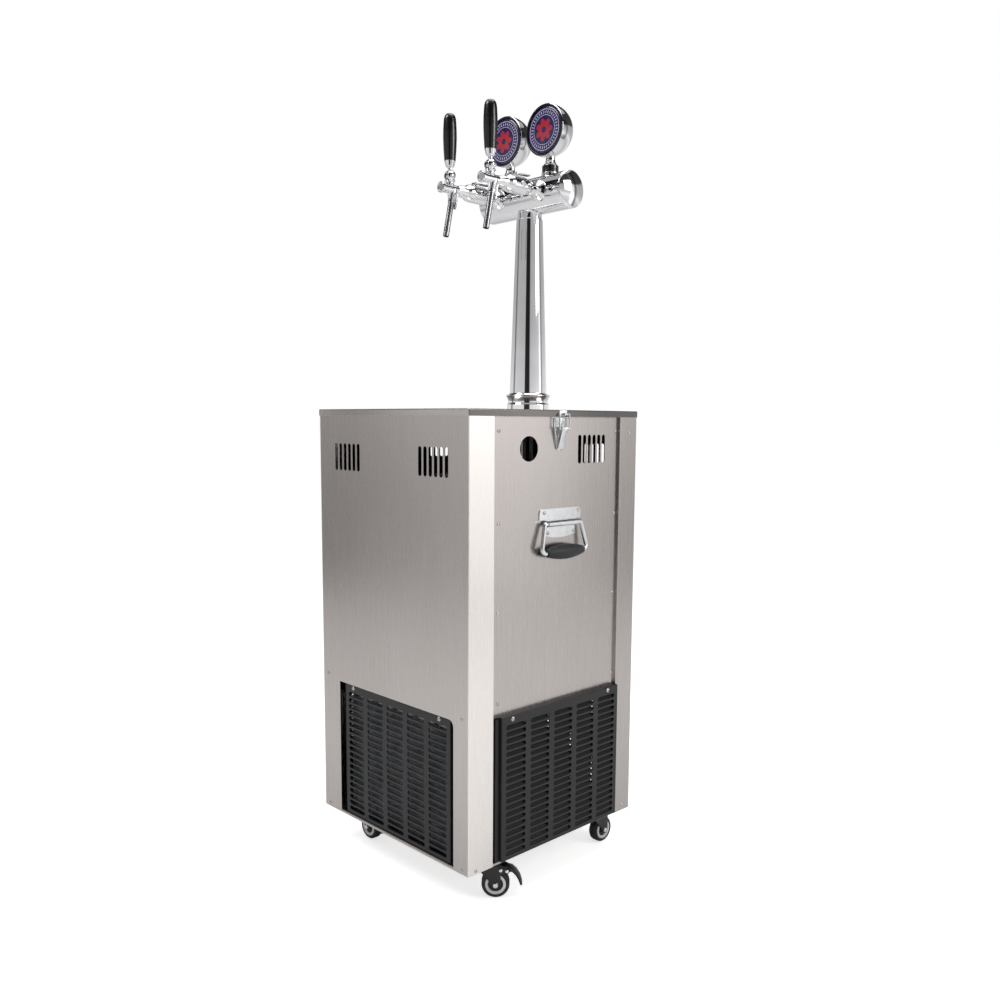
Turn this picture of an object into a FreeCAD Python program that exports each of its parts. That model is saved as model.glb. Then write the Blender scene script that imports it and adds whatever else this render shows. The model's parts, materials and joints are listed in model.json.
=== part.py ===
import FreeCAD, Part
import Sketcher
import math
import os
import re

# Mobile beer cooler: a stainless cabinet on casters with a chrome two-tap tower.
# Millimetres, +Z up, origin on the floor under the middle of the cabinet.
# Taps look towards -Y (front), the open line port looks towards +X (right).

doc = FreeCAD.newDocument("BeerCooler")
sizes = doc.addObject("Spreadsheet::Sheet", "Sizes")
V = FreeCAD.Vector
aliases = []


def sheetRows(title, rows):
    """One block of the size sheet: a title row, then alias and value pairs."""
    first = len(aliases) + sheetRows.titles + 1
    sizes.set("A%d" % first, title)
    sheetRows.titles += 1
    for offset, (alias, value) in enumerate(rows, 1):
        sizes.set("A%d" % (first + offset), alias)
        sizes.set("B%d" % (first + offset), str(value))
        sizes.setAlias("B%d" % (first + offset), alias)
        aliases.append(alias)


sheetRows.titles = 0

sheetRows("Cabinet", [
    ("cabWidth", 431.6), ("cabDepth", 431.6), ("cabHeight", 790),
    ("sheet", 1.2), ("frontReturn", 58), ("backReturn", 49), ("sideRecess", 6),
    ("sideFoot", 262), ("sideTuck", 14), ("lidRim", 12), ("lidGap", 0.3), ("lineHole", 40),
    ("trayWall", 25), ("trayLedge", 5), ("trayCorner", 30), ("postLeg", 24), ("postWall", 2), ("shelfLevel", 268),
    ("shelfRim", 28)])
sheetRows("Cut-outs", [
    ("grilleLeft", 159), ("grilleRight", 177), ("grilleFoot", 4), ("grilleHead", 265), ("grilleCorner", 12),
    ("ventWidth", 9), ("ventHigh", 51), ("ventDrop", 114.5), ("ventInner", 90), ("ventPitch", 14),
    ("sideVentWidth", 8.8), ("sideVentHigh", 52), ("sideVentDrop", 96), ("sideVentStart", 59),
    ("sideVentPitch", 13.2), ("ventCount", 6), ("portRadius", 22), ("portBack", 72), ("portDrop", 67.5),
    ("glandX", 171), ("glandLevel", 60), ("glandRadius", 9)])
sheetRows("Grille moulding", [
    ("moldWide", 323), ("moldPlay", 1), ("moldHigh", 259), ("moldDeep", 13), ("moldWall", 2.5), ("stripWide", 12),
    ("stripDrop", 6), ("louvreLong", 48), ("louvreHigh", 7.5), ("louvrePitchX", 60.5),
    ("louvrePitchZ", 12), ("louvreCols", 5), ("louvreRows", 20), ("louvreFoot", 11.5),
    ("moldProud", 7), ("moldSunk", 3)])
sheetRows("Cold tank and machine", [
    ("foamHalf", 190), ("foamWall", 26), ("foamHigh", 390), ("tankWall", 1.5), ("tankFloor", 28),
    ("coilOuter", 150), ("coilInner", 138), ("coilFoot", 20), ("coilHigh", 230), ("productOuter", 118),
    ("productInner", 104), ("motorRadius", 38), ("motorHigh", 62), ("bridgeWide", 60), ("bridgeThick", 4),
    ("shaftRadius", 4), ("shaftEntry", 12), ("bladeReach", 34), ("bladeHigh", 16), ("impellerLevel", 330),
    ("runFit", 0.05), ("compressorRadius", 62), ("canShoulder", 50), ("canDome", 14), ("compressorHigh", 150), ("compressorX", 70),
    ("compressorY", 70), ("footPad", 12), ("footPlate", 3), ("condenserWide", 290),
    ("condenserHigh", 236), ("condenserDeep", 28), ("condenserFace", 198), ("shroudDeep", 30),
    ("shroudWall", 2), ("fanRadius", 104), ("fanGap", 5), ("fanHub", 26), ("fanDeep", 18), ("vaneRoot", 10), ("vaneThick", 2), ("vaneWide", 30), ("vanePitch", 28),
    ("fanMotorRadius", 34), ("fanMotorLong", 46), ("strutWide", 20), ("strutThick", 3), ("pipeRadius", 4),
    ("pipeOut", 170), ("boxWide", 84), ("boxDeep", 56), ("boxHigh", 110)])
sheetRows("Tower", [
    ("towerY", 137), ("footRadius", 42), ("footHigh", 16), ("footEdge", 1.5), ("coveHigh", 16), ("coveRadius", 24),
    ("coneFoot", 37), ("coneHead", 26), ("neckRadius", 24), ("neckLevel", 373.7), ("barLevel", 417),
    ("barRadius", 35), ("barHalf", 107), ("barWall", 2.5), ("capHigh", 12), ("capEdge", 3), ("capPlug", 7),
    ("lineRadius", 4), ("lineApart", 10)])
sheetRows("Medallions", [
    ("medalX", 55), ("medalLevel", 532), ("medalY", 119), ("bezelRadius", 47), ("bezelHigh", 2), ("bezelSeat", 4),
    ("faceRadius", 43.5), ("faceThick", 3), ("bowlRadius", 48), ("bowlLip", 10), ("bowlWall", 2),
    ("saddleRadius", 17), ("saddleTop", 3), ("coreRadius", 8), ("collarRadius", 16), ("collarHigh", 13),
    ("stemFlare", 15), ("stemFlareHigh", 11), ("stemRadius", 9)])
sheetRows("Taps", [
    ("tapX", 56), ("buttonY", 46), ("buttonRadius", 10.3), ("buttonLong", 5), ("barrelRadius", 8.6),
    ("barrelEnd", 4), ("housingStart", 26), ("housingEnd", 62), ("housingRadius", 16.5), ("tapEnd", 76),
    ("tailRadius", 9), ("handleY", 22.2), ("ballLevel", 23.7), ("ballRadius", 11.3), ("slotWide", 9),
    ("slotPlay", 0.2), ("tongueRadius", 8), ("tapPin", 2), ("ferruleFoot", 7.5), ("ferruleTop", 10.8),
    ("ferruleLevel", 16.3), ("ferruleHigh", 11), ("gripHigh", 87), ("gripRadius", 13), ("gripTop", 9),
    ("spoutTilt", 11.6), ("spoutRootY", 14.3), ("bossRadius", 9), ("bossEnd", 6.4), ("bossLong", 28),
    ("spoutLong", 90.8), ("spoutRadius", 5.75), ("spoutWall", 1), ("spoutNeck", 0.3),
    ("spoutSeat", 18), ("bossPoint", 3), ("ventStub", 3), ("ventStubBack", 11),
    ("nutRadius", 12.5), ("nutLong", 10), ("flangeRadius", 20), ("flangeThick", 2), ("shankRadius", 7),
    ("shankEnd", 118), ("flowY", 40), ("flowLevel", 20), ("flowPin", 1.5), ("flowHub", 3), ("flowHalf", 5),
    ("flowLug", 4), ("flowArm", 38), ("flowThick", 2.2), ("flowTilt", 4)])
sheetRows("Chest handle", [
    ("handleCentre", 8), ("plateHalf", 54), ("plateTop", 174), ("plateStep", 194), ("plateCorner", 8),
    ("plateLowHalf", 40), ("plateFoot", 221.5), ("plateBelly", 5), ("plateThick", 1.5),
    ("hingeDrop", 200), ("hingeOut", 8), ("knuckleRadius", 5.6), ("knuckleHalf", 40), ("railRadius", 4),
    ("railEnd", 30), ("railTopHalf", 47), ("railFootHalf", 58), ("railKnee", 44), ("railDrop", 51),
    ("railBend", 5), ("railCorner", 6),
    ("restGap", 0.3), ("gripHalf", 47), ("gripEnd", 6.5), ("gripMid", 13.5), ("gripWaist", 11), ("gripTaper", 30),
    ("gripFlat", 13)])
sheetRows("Toggle latch", [
    ("latchY", 5), ("latchTop", 14), ("latchHalf", 16), ("latchShoulder", 27), ("latchFootHalf", 7),
    ("latchFoot", 71), ("latchThick", 1.5), ("pivotOut", 5), ("pivotDrop", 33), ("pivotRadius", 1.5),
    ("earRadius", 3.6), ("earWall", 1.2), ("earPlay", 0.4), ("leverHalf", 8.5), ("leverWall", 1.2),
    ("leverOut", 9.4), ("leverHead", 2.5), ("leverBack", 2.6), ("leverEase", 1.2), ("leverLong", 36), ("bailCrank", 7),
    ("bailRadius", 1.5), ("bailHalf", 12.6), ("bailEnd", 7.4), ("bailBar", 6.5), ("bailBarOut", 11.1),
    ("hookHalf", 4), ("hookFloor", 1.75), ("hookPlay", 3.4), ("hookTip", 0.5), ("hookWall", 1.2),
    ("keeperHalf", 10), ("keeperFoot", 10.5), ("keeperHead", 1.5)])
sheetRows("Casters", [
    ("casterX", 176), ("casterY", 150), ("trail", 26), ("wheelRadius", 25), ("wheelHalf", 9.5),
    ("hubRadius", 17.5), ("wheelBoss", 6.5), ("wheelDish", 3), ("treadEdge", 3), ("axleRadius", 3), ("axleHead", 5), ("axleHeadHigh", 2), ("forkGap", 0.8),
    ("forkWall", 2.5), ("crownRadius", 19), ("crownThick", 3), ("raceRadius", 17), ("raceHigh", 5),
    ("padThick", 3), ("padHalfX", 26), ("padHalfY", 30), ("swivelGap", 0.5), ("kingRadius", 4),
    ("kingHead", 6.5), ("kingHeadHigh", 3), ("wheelClear", 8.5), ("pedalBack", 5), ("pedalClear", 1),
    ("pedalPin", 2), ("pedalPlay", 0.4),
    ("casterHeight", "=2*wheelRadius + wheelClear + crownThick + swivelGap + raceHigh + padThick"),
    ("pedalPivotU", "=trail + wheelRadius - pedalBack"), ("pedalPivotZ", "=2*wheelRadius + pedalClear")])
doc.recompute()


def bind(text):
    """The same expression with every alias pointing at the size sheet."""
    return re.sub(r"[A-Za-z]+", lambda m: "Sizes." + m.group() if m.group() in aliases else m.group(), str(text))


def val(text):
    return float(sizes.evalExpression(bind(text)))


def express(item, **properties):
    for name, text in properties.items():
        item.setExpression(name.replace("_", "."), bind(text))
    return item


def place(item, x=0, y=0, z=0, turn=None):
    if turn:
        item.Placement = FreeCAD.Placement(V(0, 0, 0), FreeCAD.Rotation(V(*turn[0]), turn[1]))
    for axis, text in zip("xyz", (x, y, z)):
        item.setExpression("Placement.Base." + axis, bind(text))
    return item


def block(name, dx, dy, dz, x, y, z, turn=None):
    item = doc.addObject("Part::Box", name)
    express(item, Length=dx, Width=dy, Height=dz)
    return place(item, x, y, z, turn)


alongX = ((0, 1, 0), 90)
alongY = ((1, 0, 0), -90)
halfTurn = ((0, 0, 1), 180)


def disc(name, radius, length, x, y, z, turn=None):
    item = doc.addObject("Part::Cylinder", name)
    express(item, Radius=radius, Height=length)
    return place(item, x, y, z, turn)


def cut(name, base, tool):
    item = doc.addObject("Part::Cut", name)
    item.Base = base
    item.Tool = tool
    item.Refine = False
    return item


def fuse(name, items):
    item = doc.addObject("Part::MultiFuse", name)
    item.Shapes = items
    item.Refine = False
    return item


def cutAll(name, base, tools):
    return cut(name, base, fuse(name + "Tools", tools) if len(tools) > 1 else tools[0])


def group(name, items, x=0, y=0, z=0, turn=None):
    item = doc.addObject("Part::Compound", name)
    item.Links = items
    return place(item, x, y, z, turn)


def mirrored(name, source, normal=(1, 0, 0)):
    item = doc.addObject("Part::Mirroring", name)
    item.Source = source
    item.Normal = V(*normal)
    return item


def newBody(name, x=0, y=0, z=0, turn=None):
    return place(doc.addObject("PartDesign::Body", name), x, y, z, turn)


def newSketch(body, plane, name, offset=0):
    sketch = body.newObject("Sketcher::SketchObject", name)
    origin = [f for f in body.Origin.OriginFeatures if f.Role == plane][0]
    sketch.AttachmentSupport = [(origin, "")]
    sketch.MapMode = "FlatFace"
    sketch.setExpression("AttachmentOffset.Base.z", bind(offset))
    return sketch


def pin(sketch, geo, point, x, y):
    """Holds a sketch point at two expressions measured from the sketch's origin."""
    for kind, text, axis in (("DistanceX", x, -2), ("DistanceY", y, -1)):
        value = val(text)
        if abs(value) < 1e-7:
            sketch.addConstraint(Sketcher.Constraint("PointOnObject", geo, point, axis))
            continue
        ends = (-1, 1, geo, point) if value > 0 else (geo, point, -1, 1)
        index = sketch.addConstraint(Sketcher.Constraint(kind, *ends, abs(value)))
        sign = "" if value > 0 else "-"
        sketch.setExpression("Constraints[%d]" % index, "%s(%s)" % (sign, bind(text)))


def outline(sketch, points):
    """A closed outline. A point is (x, y) or (x, y, radius): the edge that leaves it is then
    an arc, its centre on the left of the way round for a positive radius."""
    corners = [(val(p[0]), val(p[1])) for p in points]
    edges = []
    for i, point in enumerate(points):
        (ax, ay), (bx, by) = corners[i], corners[(i + 1) % len(points)]
        if len(point) == 2:
            geo = sketch.addGeometry(Part.LineSegment(V(ax, ay, 0), V(bx, by, 0)), False)
            edges.append((geo, 1, 2))
            continue
        radius = val(point[2])
        half = math.hypot(bx - ax, by - ay) / 2
        lift = math.sqrt(max(radius * radius - half * half, 0)) * (1 if radius > 0 else -1)
        cx = (ax + bx) / 2 - (by - ay) / (2 * half) * lift
        cy = (ay + by) / 2 + (bx - ax) / (2 * half) * lift
        first, last = math.atan2(ay - cy, ax - cx), math.atan2(by - cy, bx - cx)
        circle = Part.Circle(V(cx, cy, 0), V(0, 0, 1), abs(radius))
        start, end = (first, last) if radius > 0 else (last, first)
        geo = sketch.addGeometry(Part.ArcOfCircle(circle, start, end + (2 * math.pi if end < start else 0)), False)
        edges.append((geo, 1, 2) if radius > 0 else (geo, 2, 1))
        index = sketch.addConstraint(Sketcher.Constraint("Radius", geo, abs(radius)))
        sketch.setExpression("Constraints[%d]" % index, ("" if radius > 0 else "-") + "(%s)" % bind(point[2]))
    for i, (geo, start, end) in enumerate(edges):
        after = edges[(i + 1) % len(edges)]
        sketch.addConstraint(Sketcher.Constraint("Coincident", geo, end, after[0], after[1]))
    for (geo, start, end), point in zip(edges, points):
        pin(sketch, geo, start, point[0], point[1])


def rectangle(sketch, x0, y0, x1, y1):
    outline(sketch, [(x0, y0), (x1, y0), (x1, y1), (x0, y1)])


def roundSlot(sketch, x, foot, head, radius):
    """An upright slot with half-round ends."""
    cx, low, high, r = val(x), val(foot) + val(radius), val(head) - val(radius), val(radius)
    top = sketch.addGeometry(Part.ArcOfCircle(Part.Circle(V(cx, high, 0), V(0, 0, 1), r), 0, math.pi), False)
    left = sketch.addGeometry(Part.LineSegment(V(cx - r, high, 0), V(cx - r, low, 0)), False)
    bottom = sketch.addGeometry(Part.ArcOfCircle(Part.Circle(V(cx, low, 0), V(0, 0, 1), r), math.pi, 2 * math.pi), False)
    right = sketch.addGeometry(Part.LineSegment(V(cx + r, low, 0), V(cx + r, high, 0)), False)
    for a, b in ((top, left), (left, bottom), (bottom, right), (right, top)):
        sketch.addConstraint(Sketcher.Constraint("Tangent", a, 2, b, 1))
    sketch.addConstraint(Sketcher.Constraint("Equal", top, bottom))
    index = sketch.addConstraint(Sketcher.Constraint("Radius", top, r))
    sketch.setExpression("Constraints[%d]" % index, bind(radius))
    pin(sketch, top, 3, x, "%s - %s" % (head, radius))
    pin(sketch, bottom, 3, x, "%s + %s" % (foot, radius))


def pad(body, sketch, length, back=False):
    feature = body.newObject("PartDesign::Pad", "Pad" + sketch.Name)
    feature.Profile = sketch
    feature.setExpression("Length", bind(length))
    feature.Reversed = back
    return feature


def pocket(body, sketch, length, back=False):
    """Cuts a sketch into the body and proves that it took material away."""
    doc.recompute()
    before = body.Shape.Volume
    feature = body.newObject("PartDesign::Pocket", "Pocket" + sketch.Name)
    feature.Profile = sketch
    feature.setExpression("Length", bind(length))
    feature.Reversed = back
    doc.recompute()
    if not body.Shape.Volume < before - 1e-3:
        raise RuntimeError("nothing was cut by " + sketch.Name)
    return feature


def repeat(body, feature, sketch, axis, length, count):
    pattern = body.newObject("PartDesign::LinearPattern", "Row" + feature.Name)
    pattern.Originals = [feature]
    pattern.Direction = (sketch, [axis])
    pattern.setExpression("Length", bind(length))
    pattern.setExpression("Occurrences", bind(count))
    body.Tip = pattern
    return pattern


def turned(name, points, x=0, y=0, z=0, turn=None):
    """A body turned about its own Z from a half outline of (radius, height) points."""
    body = newBody(name, x, y, z, turn)
    sketch = newSketch(body, "XZ_Plane", name + "Half")
    outline(sketch, points)
    feature = body.newObject("PartDesign::Revolution", name + "Turn")
    feature.Profile = sketch
    feature.ReferenceAxis = (sketch, ["V_Axis"])
    feature.Angle = 360
    return body


def plainShape(name, shape, x=0, y=0, z=0, turn=None):
    item = doc.addObject("Part::Feature", name)
    item.Shape = shape
    return place(item, x, y, z, turn)


def bentWire(points, radii):
    """A path of straight runs joined by tangent arcs, one radius per inner point."""
    edges = []
    last = points[0]
    for i in range(1, len(points) - 1):
        here = points[i]
        inward = (points[i - 1] - here).normalize()
        outward = (points[i + 1] - here).normalize()
        angle = inward.getAngle(outward)
        reach = radii[i - 1] / math.tan(angle / 2)
        start, end = here + inward * reach, here + outward * reach
        middle = (inward + outward).normalize()
        centre = here + middle * (radii[i - 1] / math.sin(angle / 2))
        edges.append(Part.LineSegment(last, start).toShape())
        edges.append(Part.Arc(start, centre - middle * radii[i - 1], end).toShape())
        last = end
    edges.append(Part.LineSegment(last, points[-1]).toShape())
    return Part.Wire(edges)


def tube(points, radii, radius, bore=0):
    """A round bar or pipe along a bent path."""
    path = bentWire(points, radii)
    start = (points[1] - points[0]).normalize()
    ring = Part.Wire([Part.makeCircle(radius, points[0], start)])
    solid = path.makePipeShell([ring], True, False)
    if bore:
        hollow = Part.Wire([Part.makeCircle(bore, points[0], start)])
        solid = solid.cut(path.makePipeShell([hollow], True, False))
    return solid


subParts = {}


def keep(label, item):
    item.Label = label
    subParts[label] = item
    return item


# Cabinet shell
def wrapPanel(name, side, depth):
    """A front or back sheet with returns round both sides, each ending in an inward lip."""
    body = newBody(name, z="casterHeight")
    sketch = newSketch(body, "XY_Plane", name + "Plan")
    far, end = "%d*cabDepth/2" % side, "%d*(cabDepth/2 - %s)" % (side, depth)
    inFar, inEnd = "%d*(cabDepth/2 - sheet)" % side, "%d*(cabDepth/2 - %s + sheet)" % (side, depth)
    lip = "(cabWidth/2 - sideRecess)"
    wall = "(cabWidth/2 - sheet)"
    outline(sketch, [
        ("-cabWidth/2", far), ("cabWidth/2", far), ("cabWidth/2", end), (lip, end), (lip, inEnd),
        (wall, inEnd), (wall, inFar), ("-" + wall, inFar), ("-" + wall, inEnd), ("-" + lip, inEnd),
        ("-" + lip, end), ("-cabWidth/2", end)])
    pad(body, sketch, "cabHeight - sheet")
    return body


def cutFace(body, name, side, turnedRound):
    """The grille cut-out and the two groups of vents in a front or back sheet."""
    mirror = "-1*" if turnedRound else "1*"
    plane = "%d*cabDepth/2" % -side
    window = newSketch(body, "XZ_Plane", name + "Window", plane)
    corner = ("%s(grilleRight)" % mirror, "%s(grilleRight - grilleCorner)" % mirror)
    outline(window, [
        ("%s(-grilleLeft)" % mirror, "grilleFoot"), (corner[0], "grilleFoot"),
        (corner[0], "grilleHead - grilleCorner", "%sgrilleCorner" % mirror),
        (corner[1], "grilleHead"), ("%s(-grilleLeft)" % mirror, "grilleHead")])
    pocket(body, window, "sheet*2", side > 0)
    for label, sign in (("Left", -1), ("Right", 1)):
        slot = newSketch(body, "XZ_Plane", name + "Vent" + label, plane)
        roundSlot(slot, "%d*ventInner" % sign, "cabHeight - ventDrop", "cabHeight - ventDrop + ventHigh",
                  "ventWidth/2")
        opening = pocket(body, slot, "sheet*2", side > 0)
        row = repeat(body, opening, slot, "H_Axis", "ventPitch*(ventCount - 1)", "ventCount")
        row.Reversed = sign < 0


frontPanel = wrapPanel("FrontPanel", -1, "frontReturn")
cutFace(frontPanel, "Front", -1, False)
keep("front_panel", frontPanel)

backPanel = wrapPanel("BackPanel", 1, "backReturn")
cutFace(backPanel, "Back", 1, True)
glandHole = newSketch(backPanel, "XZ_Plane", "GlandHole", "-cabDepth/2")
glandCircle = glandHole.addGeometry(Part.Circle(V(187, 60, 0), V(0, 0, 1), 9), False)
radiusRule = glandHole.addConstraint(Sketcher.Constraint("Radius", glandCircle, 9))
glandHole.setExpression("Constraints[%d]" % radiusRule, bind("glandRadius"))
pin(glandHole, glandCircle, 3, "glandX", "glandLevel")
pocket(backPanel, glandHole, "sheet*2", True)
keep("back_panel", backPanel)


def sidePanel(name, sign, withPort):
    """A flat panel tucked behind the lips of the two wraps."""
    body = newBody(name, x="%d*(cabWidth/2 - sideRecess - sheet)" % sign, z="casterHeight")
    sheetSketch = newSketch(body, "YZ_Plane", name + "Sheet")
    rectangle(sheetSketch, "-(cabDepth/2 - frontReturn + sideTuck)", "sideFoot",
              "cabDepth/2 - backReturn + sideTuck", "cabHeight - sheet")
    pad(body, sheetSketch, "sheet", sign < 0)
    slot = newSketch(body, "YZ_Plane", name + "Vent")
    roundSlot(slot, "sideVentStart", "cabHeight - sideVentDrop", "cabHeight - sideVentDrop + sideVentHigh",
              "sideVentWidth/2")
    opening = pocket(body, slot, "sheet*2", sign > 0)
    repeat(body, opening, slot, "H_Axis", "sideVentPitch*(ventCount - 1)", "ventCount")
    if withPort:
        port = newSketch(body, "YZ_Plane", name + "Port")
        circle = port.addGeometry(Part.Circle(V(-72, 722, 0), V(0, 0, 1), 22), False)
        rule = port.addConstraint(Sketcher.Constraint("Radius", circle, 22))
        port.setExpression("Constraints[%d]" % rule, bind("portRadius"))
        pin(port, circle, 3, "-portBack", "cabHeight - portDrop")
        pocket(body, port, "sheet*2", sign > 0)
    return body


keep("right_side_panel", sidePanel("RightSide", 1, True))
keep("left_side_panel", sidePanel("LeftSide", -1, False))

# Lid: a folded pan that drops over the panels
lidHalf = "(cabWidth/2 + lidGap + sheet)"
lid = newBody("Lid", z="casterHeight + cabHeight - lidRim")
lidPlan = newSketch(lid, "XY_Plane", "LidPlan")
rectangle(lidPlan, "-" + lidHalf, "-" + lidHalf, lidHalf, lidHalf)
pad(lid, lidPlan, "lidRim")
lidInside = newSketch(lid, "XY_Plane", "LidInside")
lidInner = "(cabWidth/2 + lidGap)"
rectangle(lidInside, "-" + lidInner, "-" + lidInner, lidInner, lidInner)
pocket(lid, lidInside, "lidRim - sheet", True)
lineHole = newSketch(lid, "XY_Plane", "LineHole")
lineCircle = lineHole.addGeometry(Part.Circle(V(0, 137, 0), V(0, 0, 1), 20), False)
lineRule = lineHole.addConstraint(Sketcher.Constraint("Radius", lineCircle, 20))
lineHole.setExpression("Constraints[%d]" % lineRule, bind("lineHole/2"))
pin(lineHole, lineCircle, 3, 0, "towerY")
pocket(lid, lineHole, "lidRim", True)
keep("lid", lid)

# Base tray: floor sheet with walls behind the wraps and a low ledge under the side grilles
trayHalf = "(cabWidth/2 - sheet)"
tray = newBody("Tray", z="casterHeight")
trayPlan = newSketch(tray, "XY_Plane", "TrayPlan")
rectangle(trayPlan, "-" + trayHalf, "-(cabDepth/2 - sheet)", trayHalf, "cabDepth/2 - sheet")
pad(tray, trayPlan, "trayWall")
trayInside = newSketch(tray, "XY_Plane", "TrayInside", "sheet")
trayInner = "(cabWidth/2 - 2*sheet)"
rectangle(trayInside, "-" + trayInner, "-(cabDepth/2 - 2*sheet)", trayInner, "cabDepth/2 - 2*sheet")
pocket(tray, trayInside, "trayWall", True)
trayGap = newSketch(tray, "XY_Plane", "TrayGap", "trayLedge")
rectangle(trayGap, "-" + trayHalf, "-(cabDepth/2 - frontReturn)", trayHalf, "cabDepth/2 - backReturn")
pocket(tray, trayGap, "trayWall", True)
trayAcross = newSketch(tray, "XY_Plane", "TrayAcross", "trayLedge")
rectangle(trayAcross, "-(cabWidth/2 - trayCorner)", "-(cabDepth/2 - sheet)", "cabWidth/2 - trayCorner", "cabDepth/2 - sheet")
pocket(tray, trayAcross, "trayWall", True)
trayLip = newSketch(tray, "XY_Plane", "TrayLip")
lipReach = "(cabWidth/2 - sideRecess - lidGap)"
for sign in (-1, 1):
    rectangle(trayLip, "%d*%s" % (sign, lipReach), "-(cabDepth/2 - frontReturn + 3*sheet)",
              "%d*cabWidth/2" % sign, "-(cabDepth/2 - frontReturn)")
    rectangle(trayLip, "%d*%s" % (sign, lipReach), "cabDepth/2 - backReturn",
              "%d*cabWidth/2" % sign, "cabDepth/2 - backReturn + 3*sheet")
pocket(tray, trayLip, "trayWall", True)
keep("base_tray", tray)

# Inner frame: four angle posts and a pan-shaped shelf that carries the cold tank
postFoot = "casterHeight + sheet"
postHigh = "cabHeight - 2*sheet"
frameX = "(cabWidth/2 - sideRecess - sheet)"
frameY = "(cabDepth/2 - 2*sheet)"
framePieces = []
for sx in (-1, 1):
    for sy in (-1, 1):
        tag = "%s%s" % ("LR"[sx > 0], "FB"[sy > 0])
        xLow = "%s - postLeg" % frameX if sx > 0 else "-" + frameX
        yLow = "%s - postLeg" % frameY if sy > 0 else "-" + frameY
        thinX = "%s - postWall" % frameX if sx > 0 else "-" + frameX
        thinY = "%s - postWall" % frameY if sy > 0 else "-" + frameY
        framePieces.append(block("PostSide" + tag, "postWall", "postLeg", postHigh, thinX, yLow, postFoot))
        framePieces.append(block("PostFace" + tag, "postLeg", "postWall", postHigh, xLow, thinY, postFoot))
shelfY = "(cabDepth/2 - moldSunk - moldDeep)"
shelfOuter = block("ShelfOuter", "2*" + frameX, "2*" + shelfY, "shelfRim",
                   "-" + frameX, "-" + shelfY, "casterHeight + shelfLevel - shelfRim")
shelfInner = block("ShelfInner", "2*(%s - postWall)" % frameX, "2*(%s - postWall)" % shelfY,
                   "shelfRim - postWall", "-(%s - postWall)" % frameX, "-(%s - postWall)" % shelfY,
                   "casterHeight + shelfLevel - shelfRim")
framePieces.append(cut("Shelf", shelfOuter, shelfInner))
keep("inner_frame", fuse("InnerFrame", framePieces))

# Louvre grille: one moulding, used on all four sides
grille = newBody("FrontGrille", x="moldWide/2 - grilleLeft + moldPlay", y="-(cabDepth/2 - moldSunk)",
                 z="casterHeight + grilleFoot + 1")
section = newSketch(grille, "XY_Plane", "GrilleSection")
mh = "moldWide/2"
outline(section, [
    ("-" + mh, "stripDrop"), ("-%s + stripWide" % mh, "stripDrop"), ("-%s + stripWide" % mh, 0), (mh, 0),
    (mh, "moldDeep"), (mh + " - moldWall", "moldDeep"), (mh + " - moldWall", "moldWall"),
    ("-%s + stripWide + moldWall" % mh, "moldWall"), ("-%s + stripWide + moldWall" % mh, "stripDrop + moldWall"),
    ("-%s + moldWall" % mh, "stripDrop + moldWall"), ("-%s + moldWall" % mh, "moldDeep"), ("-" + mh, "moldDeep")])
pad(grille, section, "moldHigh")
for name, level in (("GrilleSill", "0"), ("GrilleHeader", "moldHigh - moldWall")):
    rib = newSketch(grille, "XY_Plane", name, level)
    outline(rib, [("-" + mh, "stripDrop"), ("-%s + stripWide" % mh, "stripDrop"), ("-%s + stripWide" % mh, 0),
                  (mh, 0), (mh, "moldDeep"), ("-" + mh, "moldDeep")])
    pad(grille, rib, "moldWall")
louvres = newSketch(grille, "XZ_Plane", "LouvreRow", "moldWall")
for column in range(int(val("louvreCols"))):
    middle = "(stripWide/2 + (%d - (louvreCols - 1)/2)*louvrePitchX)" % column
    rectangle(louvres, middle + " - louvreLong/2", "louvreFoot - louvreHigh/2",
              middle + " + louvreLong/2", "louvreFoot + louvreHigh/2")
louvreCut = pocket(grille, louvres, "moldWall*4")
repeat(grille, louvreCut, louvres, "V_Axis", "louvrePitchZ*(louvreRows - 1)", "louvreRows")
keep("front_grille", grille)
moldMiddle = "(moldWide/2 - grilleLeft + moldPlay)"
returnMiddle = "((frontReturn - backReturn)/2)"
keep("right_grille", group("RightGrille", [grille], x="cabWidth/2 - cabDepth/2 + moldProud + moldSunk",
                           y=returnMiddle + " - " + moldMiddle, turn=((0, 0, 1), 90)))
keep("left_grille", group("LeftGrille", [grille], x="-(cabWidth/2 - cabDepth/2 + moldProud + moldSunk)",
                          y=returnMiddle + " + " + moldMiddle, turn=((0, 0, 1), -90)))
keep("back_grille", group("BackGrille", [grille], turn=halfTurn))

# Cold tank: foam shell, steel liner, coils, stirrer
tankFoot = "(casterHeight + shelfLevel)"
tankTop = "(casterHeight + shelfLevel + foamHigh)"
foamInner = "(foamHalf - foamWall)"
foamShell = block("FoamShell", "2*foamHalf", "2*foamHalf", "foamHigh", "-foamHalf", "-foamHalf", tankFoot)
foamRoom = block("FoamRoom", "2*" + foamInner, "2*" + foamInner, "foamHigh", "-" + foamInner, "-" + foamInner,
                 tankFoot + " + tankFloor")
keep("tank_insulation", cut("TankInsulation", foamShell, foamRoom))
linerInner = "(foamHalf - foamWall - tankWall)"
linerShell = block("LinerShell", "2*" + foamInner, "2*" + foamInner, "foamHigh - tankFloor",
                   "-" + foamInner, "-" + foamInner, tankFoot + " + tankFloor")
linerRoom = block("LinerRoom", "2*" + linerInner, "2*" + linerInner, "foamHigh",
                  "-" + linerInner, "-" + linerInner, tankFoot + " + tankFloor + tankWall")
keep("water_tank", cut("WaterTank", linerShell, linerRoom))

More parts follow.
